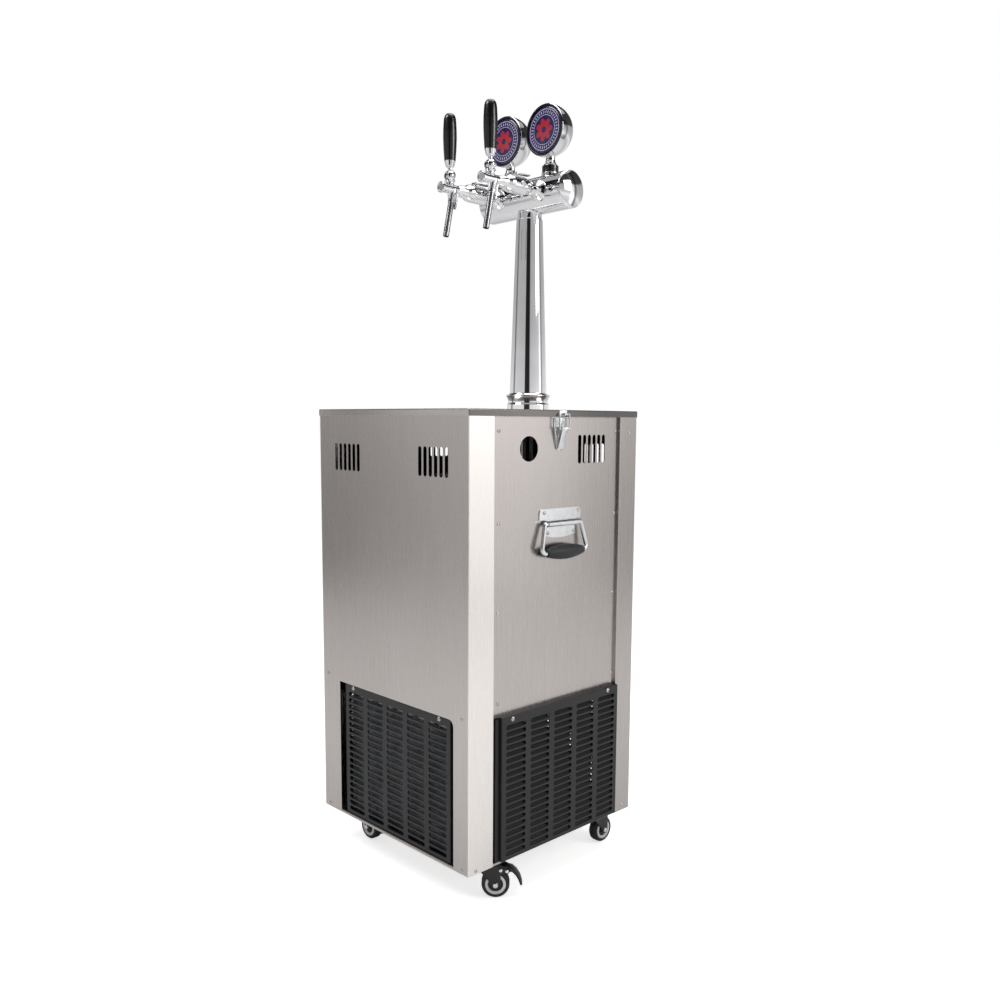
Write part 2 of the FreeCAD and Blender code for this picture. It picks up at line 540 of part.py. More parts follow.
coilBase = tankFoot + " + tankFloor + tankWall + coilFoot"
coils = []
for name, outer, inner in (("Cooling", "coilOuter", "coilInner"), ("Product", "productOuter", "productInner")):
    coils.append(cut(name + "Coil", disc(name + "Outer", outer, "coilHigh", 0, 0, coilBase),
                     disc(name + "Inner", inner, "coilHigh", 0, 0, coilBase)))
rackStart = "(productInner - 2)"
for name, dx, dy, x, y in (
        ("East", "coilOuter + 2 - " + rackStart, "20", rackStart, "-10"),
        ("West", "coilOuter + 2 - " + rackStart, "20", "-(coilOuter + 2)", "-10"),
        ("North", "20", "coilOuter + 2 - " + rackStart, "-10", rackStart),
        ("South", "20", "coilOuter + 2 - " + rackStart, "-10", "-(coilOuter + 2)")):
    coils.append(block("Rack" + name, dx, dy, "coilFoot", x, y, tankFoot + " + tankFloor + tankWall"))
keep("cooling_coils", fuse("CoolingCoils", coils))

bridge = block("Bridge", "2*foamHalf", "bridgeWide", "bridgeThick", "-foamHalf", "-bridgeWide/2", tankTop)
stirMotor = disc("StirMotor", "motorRadius", "motorHigh", 0, 0, tankTop + " + bridgeThick")
stirBore = disc("StirBore", "shaftRadius + runFit", "bridgeThick + shaftEntry + runFit", 0, 0, tankTop)
keep("agitator_motor", cut("AgitatorMotor", fuse("StirBlock", [bridge, stirMotor]), stirBore))
stirFoot = "(casterHeight + impellerLevel)"
stirParts = [disc("StirShaft", "shaftRadius", "%s + bridgeThick + shaftEntry - %s" % (tankTop, stirFoot), 0, 0, stirFoot),
             disc("StirHub", "shaftRadius*2", "bladeHigh", 0, 0, stirFoot)]
for index in range(3):
    blade = block("StirBlade%d" % index, "bladeReach", "2", "bladeHigh", 0, 0, stirFoot,
                  ((0, 0, 1), 120 * index))
    stirParts.append(blade)
keep("agitator_impeller", fuse("AgitatorImpeller", stirParts))

# Refrigeration in the foot of the cabinet
floorTop = "(casterHeight + sheet)"
can = turned("CompressorCan", [
    (0, 0), ("compressorRadius - 14", 0), ("compressorRadius", 16), ("compressorRadius", "compressorHigh - 45"),
    ("canShoulder", "compressorHigh - canDome"), (18, "compressorHigh"),
    (0, "compressorHigh")], x="compressorX", y="compressorY", z=floorTop + " + footPad + footPlate")
canParts = [can, block("CanPlate", "2*compressorRadius + 16", "compressorRadius*1.4", "footPlate",
                       "compressorX - compressorRadius - 8", "compressorY - compressorRadius*0.7",
                       floorTop + " + footPad")]
for index, (sx, sy) in enumerate(((-1, -1), (1, -1), (1, 1), (-1, 1))):
    canParts.append(disc("CanFoot%d" % index, "9", "footPad", "compressorX + %d*(compressorRadius - 4)" % sx,
                         "compressorY + %d*(compressorRadius*0.7 - 10)" % sy, floorTop))
keep("compressor", fuse("Compressor", canParts))
keep("condenser", block("Condenser", "condenserWide", "condenserDeep", "condenserHigh",
                        "-condenserWide/2", "-condenserFace", floorTop))
shroudFace = "(-condenserFace + condenserDeep)"
shroudBack = "(-condenserFace + condenserDeep + shroudDeep)"
fanZ = "(casterHeight + sheet + condenserHigh/2)"
shroudOuter = block("ShroudOuter", "condenserWide", "shroudDeep", "condenserHigh", "-condenserWide/2", shroudFace, floorTop)
shroudInner = block("ShroudInner", "condenserWide - 2*shroudWall", "shroudDeep - shroudWall",
                    "condenserHigh - 2*shroudWall", "-condenserWide/2 + shroudWall", shroudFace,
                    floorTop + " + shroudWall")
shroudHole = disc("ShroudHole", "fanRadius + fanGap", "shroudDeep", 0, shroudFace, fanZ, alongY)
shell = cutAll("ShroudShell", shroudOuter, [shroudInner, shroudHole])
strutReach = "(fanRadius + fanGap + 6)"
acrossStrut = block("StrutAcross", "2*" + strutReach, "strutThick", "strutWide", "-" + strutReach, shroudBack,
                    fanZ + " - strutWide/2")
uprightStrut = block("StrutUpright", "strutWide", "strutThick", "2*" + strutReach, "-strutWide/2", shroudBack,
                     fanZ + " - " + strutReach)
fanMotor = disc("FanMotor", "fanMotorRadius", "fanMotorLong", 0, shroudBack + " + strutThick", fanZ, alongY)
fanBore = disc("FanBore", "shaftRadius + runFit", "strutThick + shaftEntry + runFit", 0, shroudBack, fanZ, alongY)
fanFrame = fuse("FanFrame", [shell, acrossStrut, uprightStrut, fanMotor])
keep("fan_shroud", cut("FanShroud", fanFrame, fanBore))
fanStart = shroudBack + " - 4 - fanDeep"
fanParts = [disc("FanHub", "fanHub", "fanDeep", 0, fanStart, fanZ, alongY),
            disc("FanShaft", "shaftRadius", "fanDeep + 4 + strutThick + shaftEntry", 0, fanStart, fanZ, alongY)]
for index in range(5):
    vane = doc.addObject("Part::Box", "FanVane%d" % index)
    express(vane, Length="fanRadius - vaneRoot", Width="vaneThick", Height="vaneWide")
    swing = FreeCAD.Placement(V(0, 0, 0), FreeCAD.Rotation(V(0, 1, 0), 72 * index))
    pitch = FreeCAD.Placement(V(val("vaneRoot"), 0, 0), FreeCAD.Rotation(V(1, 0, 0), val("vanePitch")))
    centre = FreeCAD.Placement(V(0, -val("vaneThick/2"), -val("vaneWide/2")), FreeCAD.Rotation())
    vane.Placement = swing.multiply(pitch).multiply(centre)
    fanParts.append(group("FanWing%d" % index, [vane], y=fanStart + " + fanDeep/2 - 1", z=fanZ))
keep("fan_rotor", fuse("FanRotor", fanParts))
boxY = "(compressorY - boxDeep/2)"
keep("control_box", block("ControlBox", "boxWide", "boxDeep", "boxHigh", "-foamHalf", boxY, floorTop))

low, pipe = val("casterHeight"), val("pipeRadius")
out, cx, cy = val("pipeOut"), val("compressorX"), val("compressorY")
condX, condY = val("condenserWide/2"), val("-condenserFace + condenserDeep/2")
shelfUnder, canTop = val("casterHeight + shelfLevel - postWall"), val(floorTop + " + footPad + footPlate + compressorHigh")
discharge = tube([V(cx + val("compressorRadius"), cy, low + 90), V(out, cy, low + 90), V(out, condY, low + 90),
                  V(condX, condY, low + 90)], [14, 14], pipe)
liquid = tube([V(-condX, condY, low + 40), V(-out, condY, low + 40), V(-out, 0, low + 40), V(-out, 0, shelfUnder)],
              [14, 14], pipe)
suction = tube([V(cx, cy, canTop), V(cx, cy, canTop + 40), V(cx, cy + 80, canTop + 40), V(cx, cy + 80, shelfUnder)],
               [14, 14], pipe)
keep("refrigerant_pipes", plainShape("RefrigerantPipes", Part.makeCompound([discharge, liquid, suction])))

glandTurn = turned("GlandTurn", [
    (4, -20), ("glandRadius - 1.5", -20), ("glandRadius - 1.5", -6), ("glandRadius", -6), ("glandRadius", 0),
    ("glandRadius + 2.5", 0), ("glandRadius + 1.5", 1.5), (4, 1.5)],
    x="glandX", y="cabDepth/2", z="casterHeight + glandLevel", turn=alongY)
keep("cord_gland", glandTurn)

# Tower
lidTop = "(casterHeight + cabHeight)"
barZ = "(casterHeight + cabHeight + barLevel)"
columnTurn = turned("ColumnTurn", [
    ("footRadius", 0), ("footRadius", "footHigh - footEdge"), ("footRadius - footEdge", "footHigh", "-coveRadius"),
    ("coneFoot", "footHigh + coveHigh"), ("coneHead", "neckLevel"), ("neckRadius", "neckLevel + 2"),
    ("neckRadius", "barLevel - barRadius + 12"), ("neckRadius - barWall", "barLevel - barRadius + 12"),
    ("neckRadius - barWall", 0)],
    y="towerY", z=lidTop)
barSolid = disc("BarSolid", "barRadius", "2*barHalf", "-barHalf", "towerY", barZ, alongX)
keep("tower_column", cut("TowerColumn", columnTurn, barSolid))
barBore = disc("BarBore", "barRadius - barWall", "2*barHalf", "-barHalf", "towerY", barZ, alongX)
barThroat = disc("BarThroat", "neckRadius - barWall", "barRadius", 0, "towerY", barZ + " - barRadius")
barPorts = [disc("BarPort" + tag, "shankRadius + runFit", "barRadius", "%d*tapX" % sign, "towerY - barRadius", barZ, alongY)
            for tag, sign in (("Left", -1), ("Right", 1))]
keep("tee_bar", cutAll("TeeBar", barSolid, [barBore, barThroat] + barPorts))
rightCap = turned("RightCap", [
    (0, "-capPlug"), ("barRadius - barWall", "-capPlug"), ("barRadius - barWall", 0), ("barRadius", 0),
    ("barRadius", "capEdge", "((barRadius)^2 + (capHigh - capEdge)^2)/(2*(capHigh - capEdge))"),
    (0, "capHigh")], x="barHalf", y="towerY", z=barZ, turn=alongX)
keep("tee_end_caps", group("TeeEndCaps", [rightCap, mirrored("LeftCap", rightCap)]))


def pair(label, name, source):
    """A right-hand piece together with its mirror image on the left."""
    return keep(label, group(name, [source, mirrored(name + "Left", source)]))


# Medallions on the bar
medalZ = "(casterHeight + cabHeight + medalLevel)"
bowl = turned("Bowl", [
    ("bowlRadius", 0), ("bowlRadius", "bowlLip", "bowlRadius"), (0, "bowlLip + bowlRadius"),
    (0, "bezelSeat"), ("bowlRadius - bowlWall", "bezelSeat"), ("bowlRadius - bowlWall", 0)], x="medalX", y="medalY", z=medalZ, turn=alongY)
bezel = turned("Bezel", [
    ("faceRadius", "-bezelHigh"), ("bezelRadius - 0.6", "-bezelHigh"), ("bezelRadius", "-bezelHigh + 0.6"),
    ("bezelRadius", 0), ("bowlRadius - bowlWall", 0), ("bowlRadius - bowlWall", "bezelSeat"), ("faceRadius", "bezelSeat")],
    x="medalX", y="medalY", z=medalZ, turn=alongY)
barTop = "(casterHeight + cabHeight + barLevel + barRadius)"
collar = turned("Collar", [
    ("coreRadius", 0), ("collarRadius", 0), ("collarRadius", "collarHigh"), ("coreRadius", "collarHigh")],
    x="medalX", y="towerY", z=barTop + " + saddleTop")
pair("medallion_trim", "MedallionTrim", group("TrimRight", [bezel, collar]))
facePlate = disc("FacePlate", "faceRadius", "faceThick", "medalX", "medalY - faceThick/2", medalZ, alongY)
pair("medallion_faces", "MedallionFaces", facePlate)
stemTurn = turned("StemTurn", [
    (0, "-8"), ("saddleRadius", "-8"), ("saddleRadius", "saddleTop"), ("coreRadius", "saddleTop"),
    ("coreRadius", "saddleTop + collarHigh"), ("stemFlare", "saddleTop + collarHigh", "-(stemFlareHigh*1.6)"),
    ("stemRadius", "saddleTop + collarHigh + stemFlareHigh"), ("stemRadius", "medalLevel - barLevel - barRadius - 30"),
    (0, "medalLevel - barLevel - barRadius - 30")], x="medalX", y="towerY", z=barTop)
bowlBall = doc.addObject("Part::Sphere", "BowlBall")
express(bowlBall, Radius="bowlRadius")
place(bowlBall, "medalX", "medalY + bowlLip", medalZ)
barTool = disc("BarTool", "barRadius", "2*barHalf", "-barHalf", "towerY", barZ, alongX)
stem = cutAll("StemRight", stemTurn, [bowlBall, barTool])
pair("medallion_housings", "MedallionHousings", group("HousingRight", [bowl, stem]))

# Taps
tapTurn = turned("TapTurn", [
    (0, "-buttonY"), ("buttonRadius - 1", "-buttonY"), ("buttonRadius", "-buttonY + 1"),
    ("buttonRadius", "-buttonY + buttonLong"), ("barrelRadius", "-buttonY + buttonLong"),
    ("barrelRadius", "-barrelEnd"), ("barrelRadius + 2.4", 6), ("barrelRadius + 3.4", 15, "-20"),
    ("housingRadius", "housingStart"), ("housingRadius", "housingEnd"), ("nutRadius", "tapEnd - 4"),
    ("tailRadius", "tapEnd - 4"), ("tailRadius", "tapEnd"), (0, "tapEnd")], x="tapX", z=barZ, turn=alongY)
pivotZ = "(casterHeight + cabHeight + barLevel + ballLevel)"
lugNeck = disc("LugNeck", "barrelRadius - 0.6", "ballLevel - 4", "tapX", "-handleY", barZ)
ball = doc.addObject("Part::Sphere", "Ball")
express(ball, Radius="ballRadius")
place(ball, "tapX", "-handleY", pivotZ)
ballSlot = block("BallSlot", "slotWide", "2*ballRadius + 4", "ballRadius + tongueRadius + 5",
                 "tapX - slotWide/2", "-handleY - ballRadius - 2", pivotZ + " - tongueRadius - 0.5")
tapPin = disc("TapPin", "tapPin", "2*ballRadius", "tapX - ballRadius", "-handleY", pivotZ, alongX)
down = ((1, 0, 0), 180 - val("spoutTilt"))
boss = doc.addObject("Part::Cone", "Boss")
express(boss, Radius1="bossRadius", Radius2="bossEnd", Height="bossLong - bossPoint")
place(boss, "tapX", "-spoutRootY", barZ, down)
bossHole = disc("BossHole", "spoutRadius - spoutNeck", "spoutLong", "tapX", "-spoutRootY - spoutSeat*sin(spoutTilt)",
                barZ + " - spoutSeat*cos(spoutTilt)", down)
airStub = disc("AirStub", "ventStub", "bossLong + 8", "tapX", "-spoutRootY + ventStubBack", barZ, down)
lug = block("FlowLug", "flowLug", "8", "flowLevel - housingRadius + 4.5", "tapX - flowLug/2", "flowY - 4",
            barZ + " + housingRadius - 2")
flowPin = disc("FlowPin", "flowPin", "2*flowHalf", "tapX - flowHalf", "flowY", barZ + " + flowLevel", alongX)
tapBarrel = cut("TapBarrel", fuse("TapBarrelFused", [tapTurn, boss, airStub]), bossHole)
tapHead = cut("TapHead", fuse("TapHeadFused", [lugNeck, ball]), ballSlot)
rightTap = fuse("RightTap", [tapBarrel, tapHead, tapPin, lug, flowPin])
leftwards = "-2*tapX"
keep("tap_bodies", group("TapBodies", [rightTap, group("LeftTap", [rightTap], x=leftwards)]))

spoutTurn = turned("SpoutTurn", [
    ("spoutRadius - spoutWall", 0), ("spoutRadius - spoutNeck", 0), ("spoutRadius - spoutNeck", "(bossLong - bossPoint + restGap - spoutSeat)"),
    ("spoutRadius", "(bossLong - bossPoint + restGap - spoutSeat)"), ("spoutRadius", "spoutLong - spoutSeat"),
    ("spoutRadius - spoutWall", "spoutLong - spoutSeat")], x="tapX", y="-spoutRootY - spoutSeat*sin(spoutTilt)",
    z=barZ + " - spoutSeat*cos(spoutTilt)", turn=down)
keep("tap_spouts", group("TapSpouts", [spoutTurn, group("LeftSpout", [spoutTurn], x=leftwards)]))

flangeTurn = turned("FlangeTurn", [
    (3, 0), ("nutRadius - 1", 0), ("nutRadius", 1), ("nutRadius", "nutLong - 1"), ("nutRadius - 1", "nutLong"),
    ("nutRadius - 0.5", "nutLong + 1", "-60"), ("flangeRadius", "towerY - barRadius - tapEnd - flangeThick/2"),
    ("flangeRadius", "towerY - barRadius - tapEnd + 8"), (3, "towerY - barRadius - tapEnd + 8")],
    x="tapX", y="tapEnd", z=barZ, turn=alongY)
flangeCut = cut("FlangeCut", flangeTurn, disc("BarToolTwo", "barRadius", "2*barHalf", "-barHalf", "towerY", barZ, alongX))
shankOuter = disc("ShankOuter", "shankRadius", "shankEnd - towerY + barRadius", "tapX", "towerY - barRadius", barZ, alongY)
shankBore = disc("ShankBore", "3", "shankEnd - tapEnd", "tapX", "tapEnd", barZ, alongY)
rightShank = cut("RightShank", fuse("ShankFused", [flangeCut, shankOuter]), shankBore)
keep("tap_shanks", group("TapShanks", [rightShank, group("LeftShank", [rightShank], x=leftwards)]))

tongue = disc("Tongue", "tongueRadius", "slotWide - 2*slotPlay", "tapX - slotWide/2 + slotPlay", "-handleY", pivotZ, alongX)
neck = block("LeverNeck", "slotWide - 2*slotPlay", "slotWide - 2*slotPlay", "ferruleLevel",
             "tapX - slotWide/2 + slotPlay", "-handleY - slotWide/2 + slotPlay", pivotZ)
ferrule = doc.addObject("Part::Cone", "Ferrule")
express(ferrule, Radius1="ferruleFoot", Radius2="ferruleTop", Height="ferruleHigh")
place(ferrule, "tapX", "-handleY", pivotZ + " + ferruleLevel")
leverHole = disc("LeverHole", "tapPin + runFit", "slotWide", "tapX - slotWide/2", "-handleY", pivotZ, alongX)
rightLever = keep("right_tap_lever", cut("RightTapLever", fuse("LeverFused", [tongue, neck, ferrule]), leverHole))
keep("left_tap_lever", group("LeftTapLever", [rightLever], x=leftwards))
gripTurn = keep("right_tap_grip", turned("RightTapGrip", [
    (0, 0), ("ferruleTop", 0), ("gripRadius", "gripHigh*0.5"), ("gripRadius - 1", "gripHigh*0.8"),
    ("gripTop + 1", "gripHigh - 5"), ("gripTop - 3.5", "gripHigh"), (0, "gripHigh")],
    x="tapX", y="-handleY", z=pivotZ + " + ferruleLevel + ferruleHigh"))
keep("left_tap_grip", group("LeftTapGrip", [gripTurn], x=leftwards))

flowZ = "(casterHeight + cabHeight + barLevel + flowLevel)"
flowHub = disc("FlowHub", "flowHub", "2*flowHalf", "tapX - flowHalf", "flowY", flowZ, alongX)
flowBlade = block("FlowBlade", "2*flowHalf", "flowArm", "flowThick", "tapX - flowHalf", "flowY", flowZ + " - flowThick/2",
                  ((1, 0, 0), val("flowTilt")))
flowSlot = block("FlowSlot", "flowLug + 2*slotPlay", "14", "16", "tapX - flowLug/2 - slotPlay", "flowY - 7", flowZ + " - 8")
flowHole = disc("FlowHole", "flowPin + runFit", "2*flowHalf", "tapX - flowHalf", "flowY", flowZ, alongX)
rightFlow = keep("right_flow_lever", cutAll("RightFlowLever", fuse("FlowFused", [flowHub, flowBlade]), [flowSlot, flowHole]))
keep("left_flow_lever", group("LeftFlowLever", [rightFlow], x=leftwards))

lineX, line, ty, tx = val("lineApart"), val("lineRadius"), val("towerY"), val("tapX")
topZ, endZ = val(barZ), val(coilBase + " + coilHigh")
beerLine = plainShape("BeerLine", tube([V(tx, val("shankEnd"), topZ), V(tx, ty, topZ), V(lineX, ty, topZ),
                                        V(lineX, ty, endZ)], [12, 12], line))
pair("beer_lines", "BeerLines", beerLine)

# Chest handles: their levels are measured down from the top of the cabinet
panelX = "(cabWidth/2 - sideRecess)"
plate = newBody("HandlePlate", x=panelX, y="handleCentre", z="casterHeight + cabHeight")
plateSketch = newSketch(plate, "YZ_Plane", "HandlePlateOutline")
bellyRule = "((plateLowHalf)^2 + (plateBelly)^2)/(2*plateBelly)"
outline(plateSketch, [
    ("-plateLowHalf", "-plateFoot", bellyRule), ("plateLowHalf", "-plateFoot"), ("plateLowHalf", "-plateStep"),
    ("plateHalf", "-plateStep"), ("plateHalf", "-plateTop - plateCorner", "plateCorner"),
    ("plateHalf - plateCorner", "-plateTop"), ("-(plateHalf - plateCorner)", "-plateTop", "plateCorner"),
    ("-plateHalf", "-plateTop - plateCorner"), ("-plateHalf", "-plateStep"), ("-plateLowHalf", "-plateStep")])
pad(plate, plateSketch, "plateThick")
hingeX, hingeZ = "(cabWidth/2 - sideRecess + hingeOut)", "(casterHeight + cabHeight - hingeDrop)"
knuckle = disc("Knuckle", "knuckleRadius", "2*knuckleHalf", hingeX, "handleCentre - knuckleHalf", hingeZ, alongY)
web = block("KnuckleWeb", "hingeOut", "2*knuckleHalf", "knuckleRadius", panelX, "handleCentre - knuckleHalf", hingeZ)
knuckleBore = disc("KnuckleBore", "railRadius + runFit", "2*knuckleHalf", hingeX, "handleCentre - knuckleHalf", hingeZ, alongY)
rightPlate = cut("RightHandlePlate", fuse("HandlePlateFused", [plate, knuckle, web]), knuckleBore)
pair("handle_plates", "HandlePlates", rightPlate)
hx, hz, hy = val(hingeX), val(hingeZ), val("handleCentre")
lean, drop, rail = val("gripMid + restGap - hingeOut"), val("railDrop"), val("railRadius")


def railPoint(y, share):
    return V(hx + lean * share, hy + y, hz - drop * share)


knee = val("railKnee/railDrop")
railHalf = [railPoint(val("railEnd"), 0), railPoint(val("railTopHalf"), 0), railPoint(val("railFootHalf"), knee),
            railPoint(val("railFootHalf - 5"), 1)]
railPath = railHalf + [V(p.x, 2 * hy - p.y, p.z) for p in reversed(railHalf)]
railTurn, railEdge = val("railBend"), val("railCorner")
railBends = [railTurn, railTurn, railEdge, railEdge, railTurn, railTurn]
rightBail = keep("right_handle_bail", plainShape("RightHandleBail", tube(railPath, railBends, rail)))
keep("left_handle_bail", mirrored("LeftHandleBail", rightBail))
rightGrip = keep("right_handle_grip", turned("RightHandleGrip", [
    ("railRadius", "-gripHalf"), ("gripEnd", "-gripHalf"), ("gripWaist", "-gripTaper"), ("gripMid", "-gripFlat"),
    ("gripMid", "gripFlat"), ("gripWaist", "gripTaper"), ("gripEnd", "gripHalf"), ("railRadius", "gripHalf")],
    x=panelX + " + gripMid + restGap", y="handleCentre", z=hingeZ + " - railDrop", turn=alongY))
keep("left_handle_grip", mirrored("LeftHandleGrip", rightGrip))

# Toggle latches: their levels are measured down from the top of the cabinet
latch = newBody("LatchBase", x=panelX, y="latchY", z="casterHeight + cabHeight")
latchSketch = newSketch(latch, "YZ_Plane", "LatchBaseOutline")
outline(latchSketch, [
    ("-latchFootHalf", "-latchFoot"), ("latchFootHalf", "-latchFoot"), ("latchHalf", "-latchShoulder"),
    ("latchHalf", "-latchTop"), ("-latchHalf", "-latchTop"), ("-latchHalf", "-latchShoulder")])
pad(latch, latchSketch, "latchThick")
earX, earZ = "(cabWidth/2 - sideRecess + pivotOut)", "(casterHeight + cabHeight - pivotDrop)"
earInner = "(leverHalf + earPlay)"
latchParts = [latch, disc("LatchPin", "pivotRadius", "2*(leverHalf + earPlay + earWall)", earX,
                          "latchY - leverHalf - earPlay - earWall", earZ, alongY)]
for tag, y in (("Front", "latchY - %s - earWall" % earInner), ("Back", "latchY + " + earInner)):
    latchParts.append(block("EarWeb" + tag, "pivotOut", "earWall", "2*earRadius", panelX, y, earZ + " - earRadius"))
    latchParts.append(disc("EarRound" + tag, "earRadius", "earWall", earX, y, earZ, alongY))
rimX = "(cabWidth/2 + lidGap + sheet)"
barX = "(cabWidth/2 - sideRecess + bailBarOut)"
hookZ = "(casterHeight + cabHeight - bailBar - hookFloor - hookWall)"
latchParts.append(block("Keeper", "hookWall", "2*keeperHalf", "keeperFoot - keeperHead", rimX, "latchY - keeperHalf",
                        "casterHeight + cabHeight - keeperFoot"))
latchParts.append(block("HookFloor", barX + " + hookPlay + hookWall - " + rimX, "2*hookHalf", "hookWall", rimX,
                        "latchY - hookHalf", hookZ))
latchParts.append(block("HookTip", "hookWall", "2*hookHalf", "hookFloor + hookWall + hookTip",
                        barX + " + hookPlay", "latchY - hookHalf", hookZ))
pair("latch_plates", "LatchPlates", fuse("RightLatchPlate", latchParts))

lever = newBody("LatchLeverBody", x=earX, y="latchY", z=earZ)
leverSketch = newSketch(lever, "XZ_Plane", "LatchLeverSide", "-leverHalf")
outline(leverSketch, [
    ("-leverBack", "-leverBack - 1"), ("-leverBack", "-leverLong + 2"), ("-leverBack + 1", "-leverLong"),
    ("-0.4", "-leverLong"), ("leverOut", "-leverHead"), ("leverOut", "leverHead"),
    ("-leverBack + leverEase", "leverHead"), ("-leverBack", "leverHead - leverEase")])
pad(lever, leverSketch, "2*leverHalf")
channel = newSketch(lever, "XZ_Plane", "LatchLeverChannel", "-(leverHalf - leverWall)")
outline(channel, [
    ("-leverBack - 2", "-leverLong + 3.5"), ("-1.6", "-leverLong + 3.5"), ("leverOut - leverWall", "-leverHead"),
    ("leverOut - leverWall", "leverHead + 2"), ("-leverBack - 2", "leverHead + 2")])
pocket(lever, channel, "2*(leverHalf - leverWall)", True)
pinHole = disc("LeverPinHole", "pivotRadius + runFit", "2*leverHalf", earX, "latchY - leverHalf", earZ, alongY)
bailHole = disc("LeverBailHole", "bailRadius + runFit", "2*leverHalf", earX + " + bailCrank", "latchY - leverHalf", earZ, alongY)
rightLatch = keep("right_latch_lever", cutAll("RightLatchLever", lever, [pinHole, bailHole]))
keep("left_latch_lever", mirrored("LeftLatchLever", rightLatch))
ly, bx, bz = val("latchY"), val(earX + " + bailCrank"), val(earZ)
tx2, tz2 = val(barX), val("casterHeight + cabHeight - bailBar")
wireHalf = [V(bx, ly + val("bailEnd"), bz), V(bx, ly + val("bailHalf"), bz), V(tx2, ly + val("bailHalf"), tz2)]
wirePath = wireHalf + [V(p.x, 2 * ly - p.y, p.z) for p in reversed(wireHalf)]
rightWire = keep("right_latch_bail", plainShape("RightLatchBail", tube(wirePath, [2, 2, 2, 2], val("bailRadius"))))
keep("left_latch_bail", mirrored("LeftLatchBail", rightWire))

# Casters
padZ = "(casterHeight - padThick)"
crownTop = "(casterHeight - padThick - raceHigh - swivelGap)"
crownFoot = "(casterHeight - padThick - raceHigh - swivelGap - crownThick)"
mount = fuse("CasterMount", [
    block("CasterPad", "2*padHalfX", "2*padHalfY", "padThick", "-padHalfX", "-padHalfY", padZ),
    disc("Race", "raceRadius", "raceHigh", 0, 0, padZ + " - raceHigh"),
    disc("KingPin", "kingRadius", "raceHigh + 2*swivelGap + crownThick + kingHeadHigh", 0, 0,
         crownFoot + " - swivelGap - kingHeadHigh"),
    disc("KingHead", "kingHead", "kingHeadHigh", 0, 0, crownFoot + " - swivelGap - kingHeadHigh")])
corners = [("front_right", "1", "-1", 45.7), ("front_left", "-1", "-1", 0), ("back_right", "1", "1", 90),
           ("back_left", "-1", "1", 90)]
keep("caster_mounts", group("CasterMounts", [
    group("Mount%d" % index, [mount], x="%s*casterX" % sx, y="%s*casterY" % sy)
    for index, (tag, sx, sy, turn) in enumerate(corners)]))


def forkWith(pedal):
    """The fork for a trail along +X: crown, two cheeks and a headed axle."""
    name = "Brake" if pedal else "Plain"
    inner, outer = "(wheelHalf + forkGap)", "(wheelHalf + forkGap + forkWall)"
    parts = [disc(name + "Crown", "crownRadius", "crownThick", 0, 0, crownFoot),
             block(name + "Roof", "trail + 8", "2*" + outer, "crownThick", 0, "-" + outer, crownFoot)]
    shape = [("-8", crownFoot + " + crownThick"), ("-8", crownFoot), ("trail - 8", "wheelRadius + 3"),
             ("trail - 6", "wheelRadius - 7"), ("trail + 6", "wheelRadius - 7"), ("trail + 9", "wheelRadius + 5"),
             ("trail + 9", crownFoot + " - 14")]
    if pedal:
        shape += [("pedalPivotU + 3", "pedalPivotZ - 4"), ("pedalPivotU + 5", "pedalPivotZ"),
                  ("pedalPivotU + 3", "pedalPivotZ + 4"), ("trail + 10", crownFoot + " + crownThick")]
    else:
        shape += [("trail + 8", crownFoot + " + crownThick")]
    for tag, offset in (("Near", outer), ("Far", "-" + inner)):
        cheek = newBody(name + "Cheek" + tag)
        side = newSketch(cheek, "XZ_Plane", name + tag + "Side", offset)
        outline(side, shape)
        pad(cheek, side, "forkWall", True)
        parts.append(cheek)
    parts.append(disc(name + "Axle", "axleRadius", "2*%s + 2*axleHeadHigh" % outer, "trail",
                      "-%s - axleHeadHigh" % outer, "wheelRadius", alongY))
    for tag, y in (("Near", "-%s - axleHeadHigh" % outer), ("Far", outer)):
        parts.append(disc(name + "Head" + tag, "axleHead", "axleHeadHigh", "trail", y, "wheelRadius", alongY))
    if pedal:
        parts.append(disc(name + "PedalPin", "pedalPin", "2*" + outer, "pedalPivotU", "-" + outer, "pedalPivotZ", alongY))
    bore = disc(name + "Bore", "kingRadius + runFit", "crownThick", 0, 0, crownFoot)
    return cut(name + "Fork", fuse(name + "ForkFused", parts), bore)


forks = {True: forkWith(True), False: forkWith(False)}
wheel = turned("Wheel", [
    ("axleRadius + runFit", "-wheelHalf"), ("wheelBoss", "-wheelHalf"), ("wheelBoss", "-wheelHalf + wheelDish"),
    ("hubRadius", "-wheelHalf + wheelDish"), ("hubRadius", "-wheelHalf"), ("wheelRadius - treadEdge", "-wheelHalf"),
    ("wheelRadius", "-wheelHalf + treadEdge"), ("wheelRadius", "wheelHalf - treadEdge"),
    ("wheelRadius - treadEdge", "wheelHalf"), ("hubRadius", "wheelHalf"), ("hubRadius", "wheelHalf - wheelDish"),
    ("wheelBoss", "wheelHalf - wheelDish"), ("wheelBoss", "wheelHalf"), ("axleRadius + runFit", "wheelHalf")],
    x="trail", z="wheelRadius", turn=alongY)
pedalHalf = "(wheelHalf + forkGap - pedalPlay)"
pedalBody = newBody("PedalBody")
pedalSketch = newSketch(pedalBody, "XZ_Plane", "PedalSide", pedalHalf)
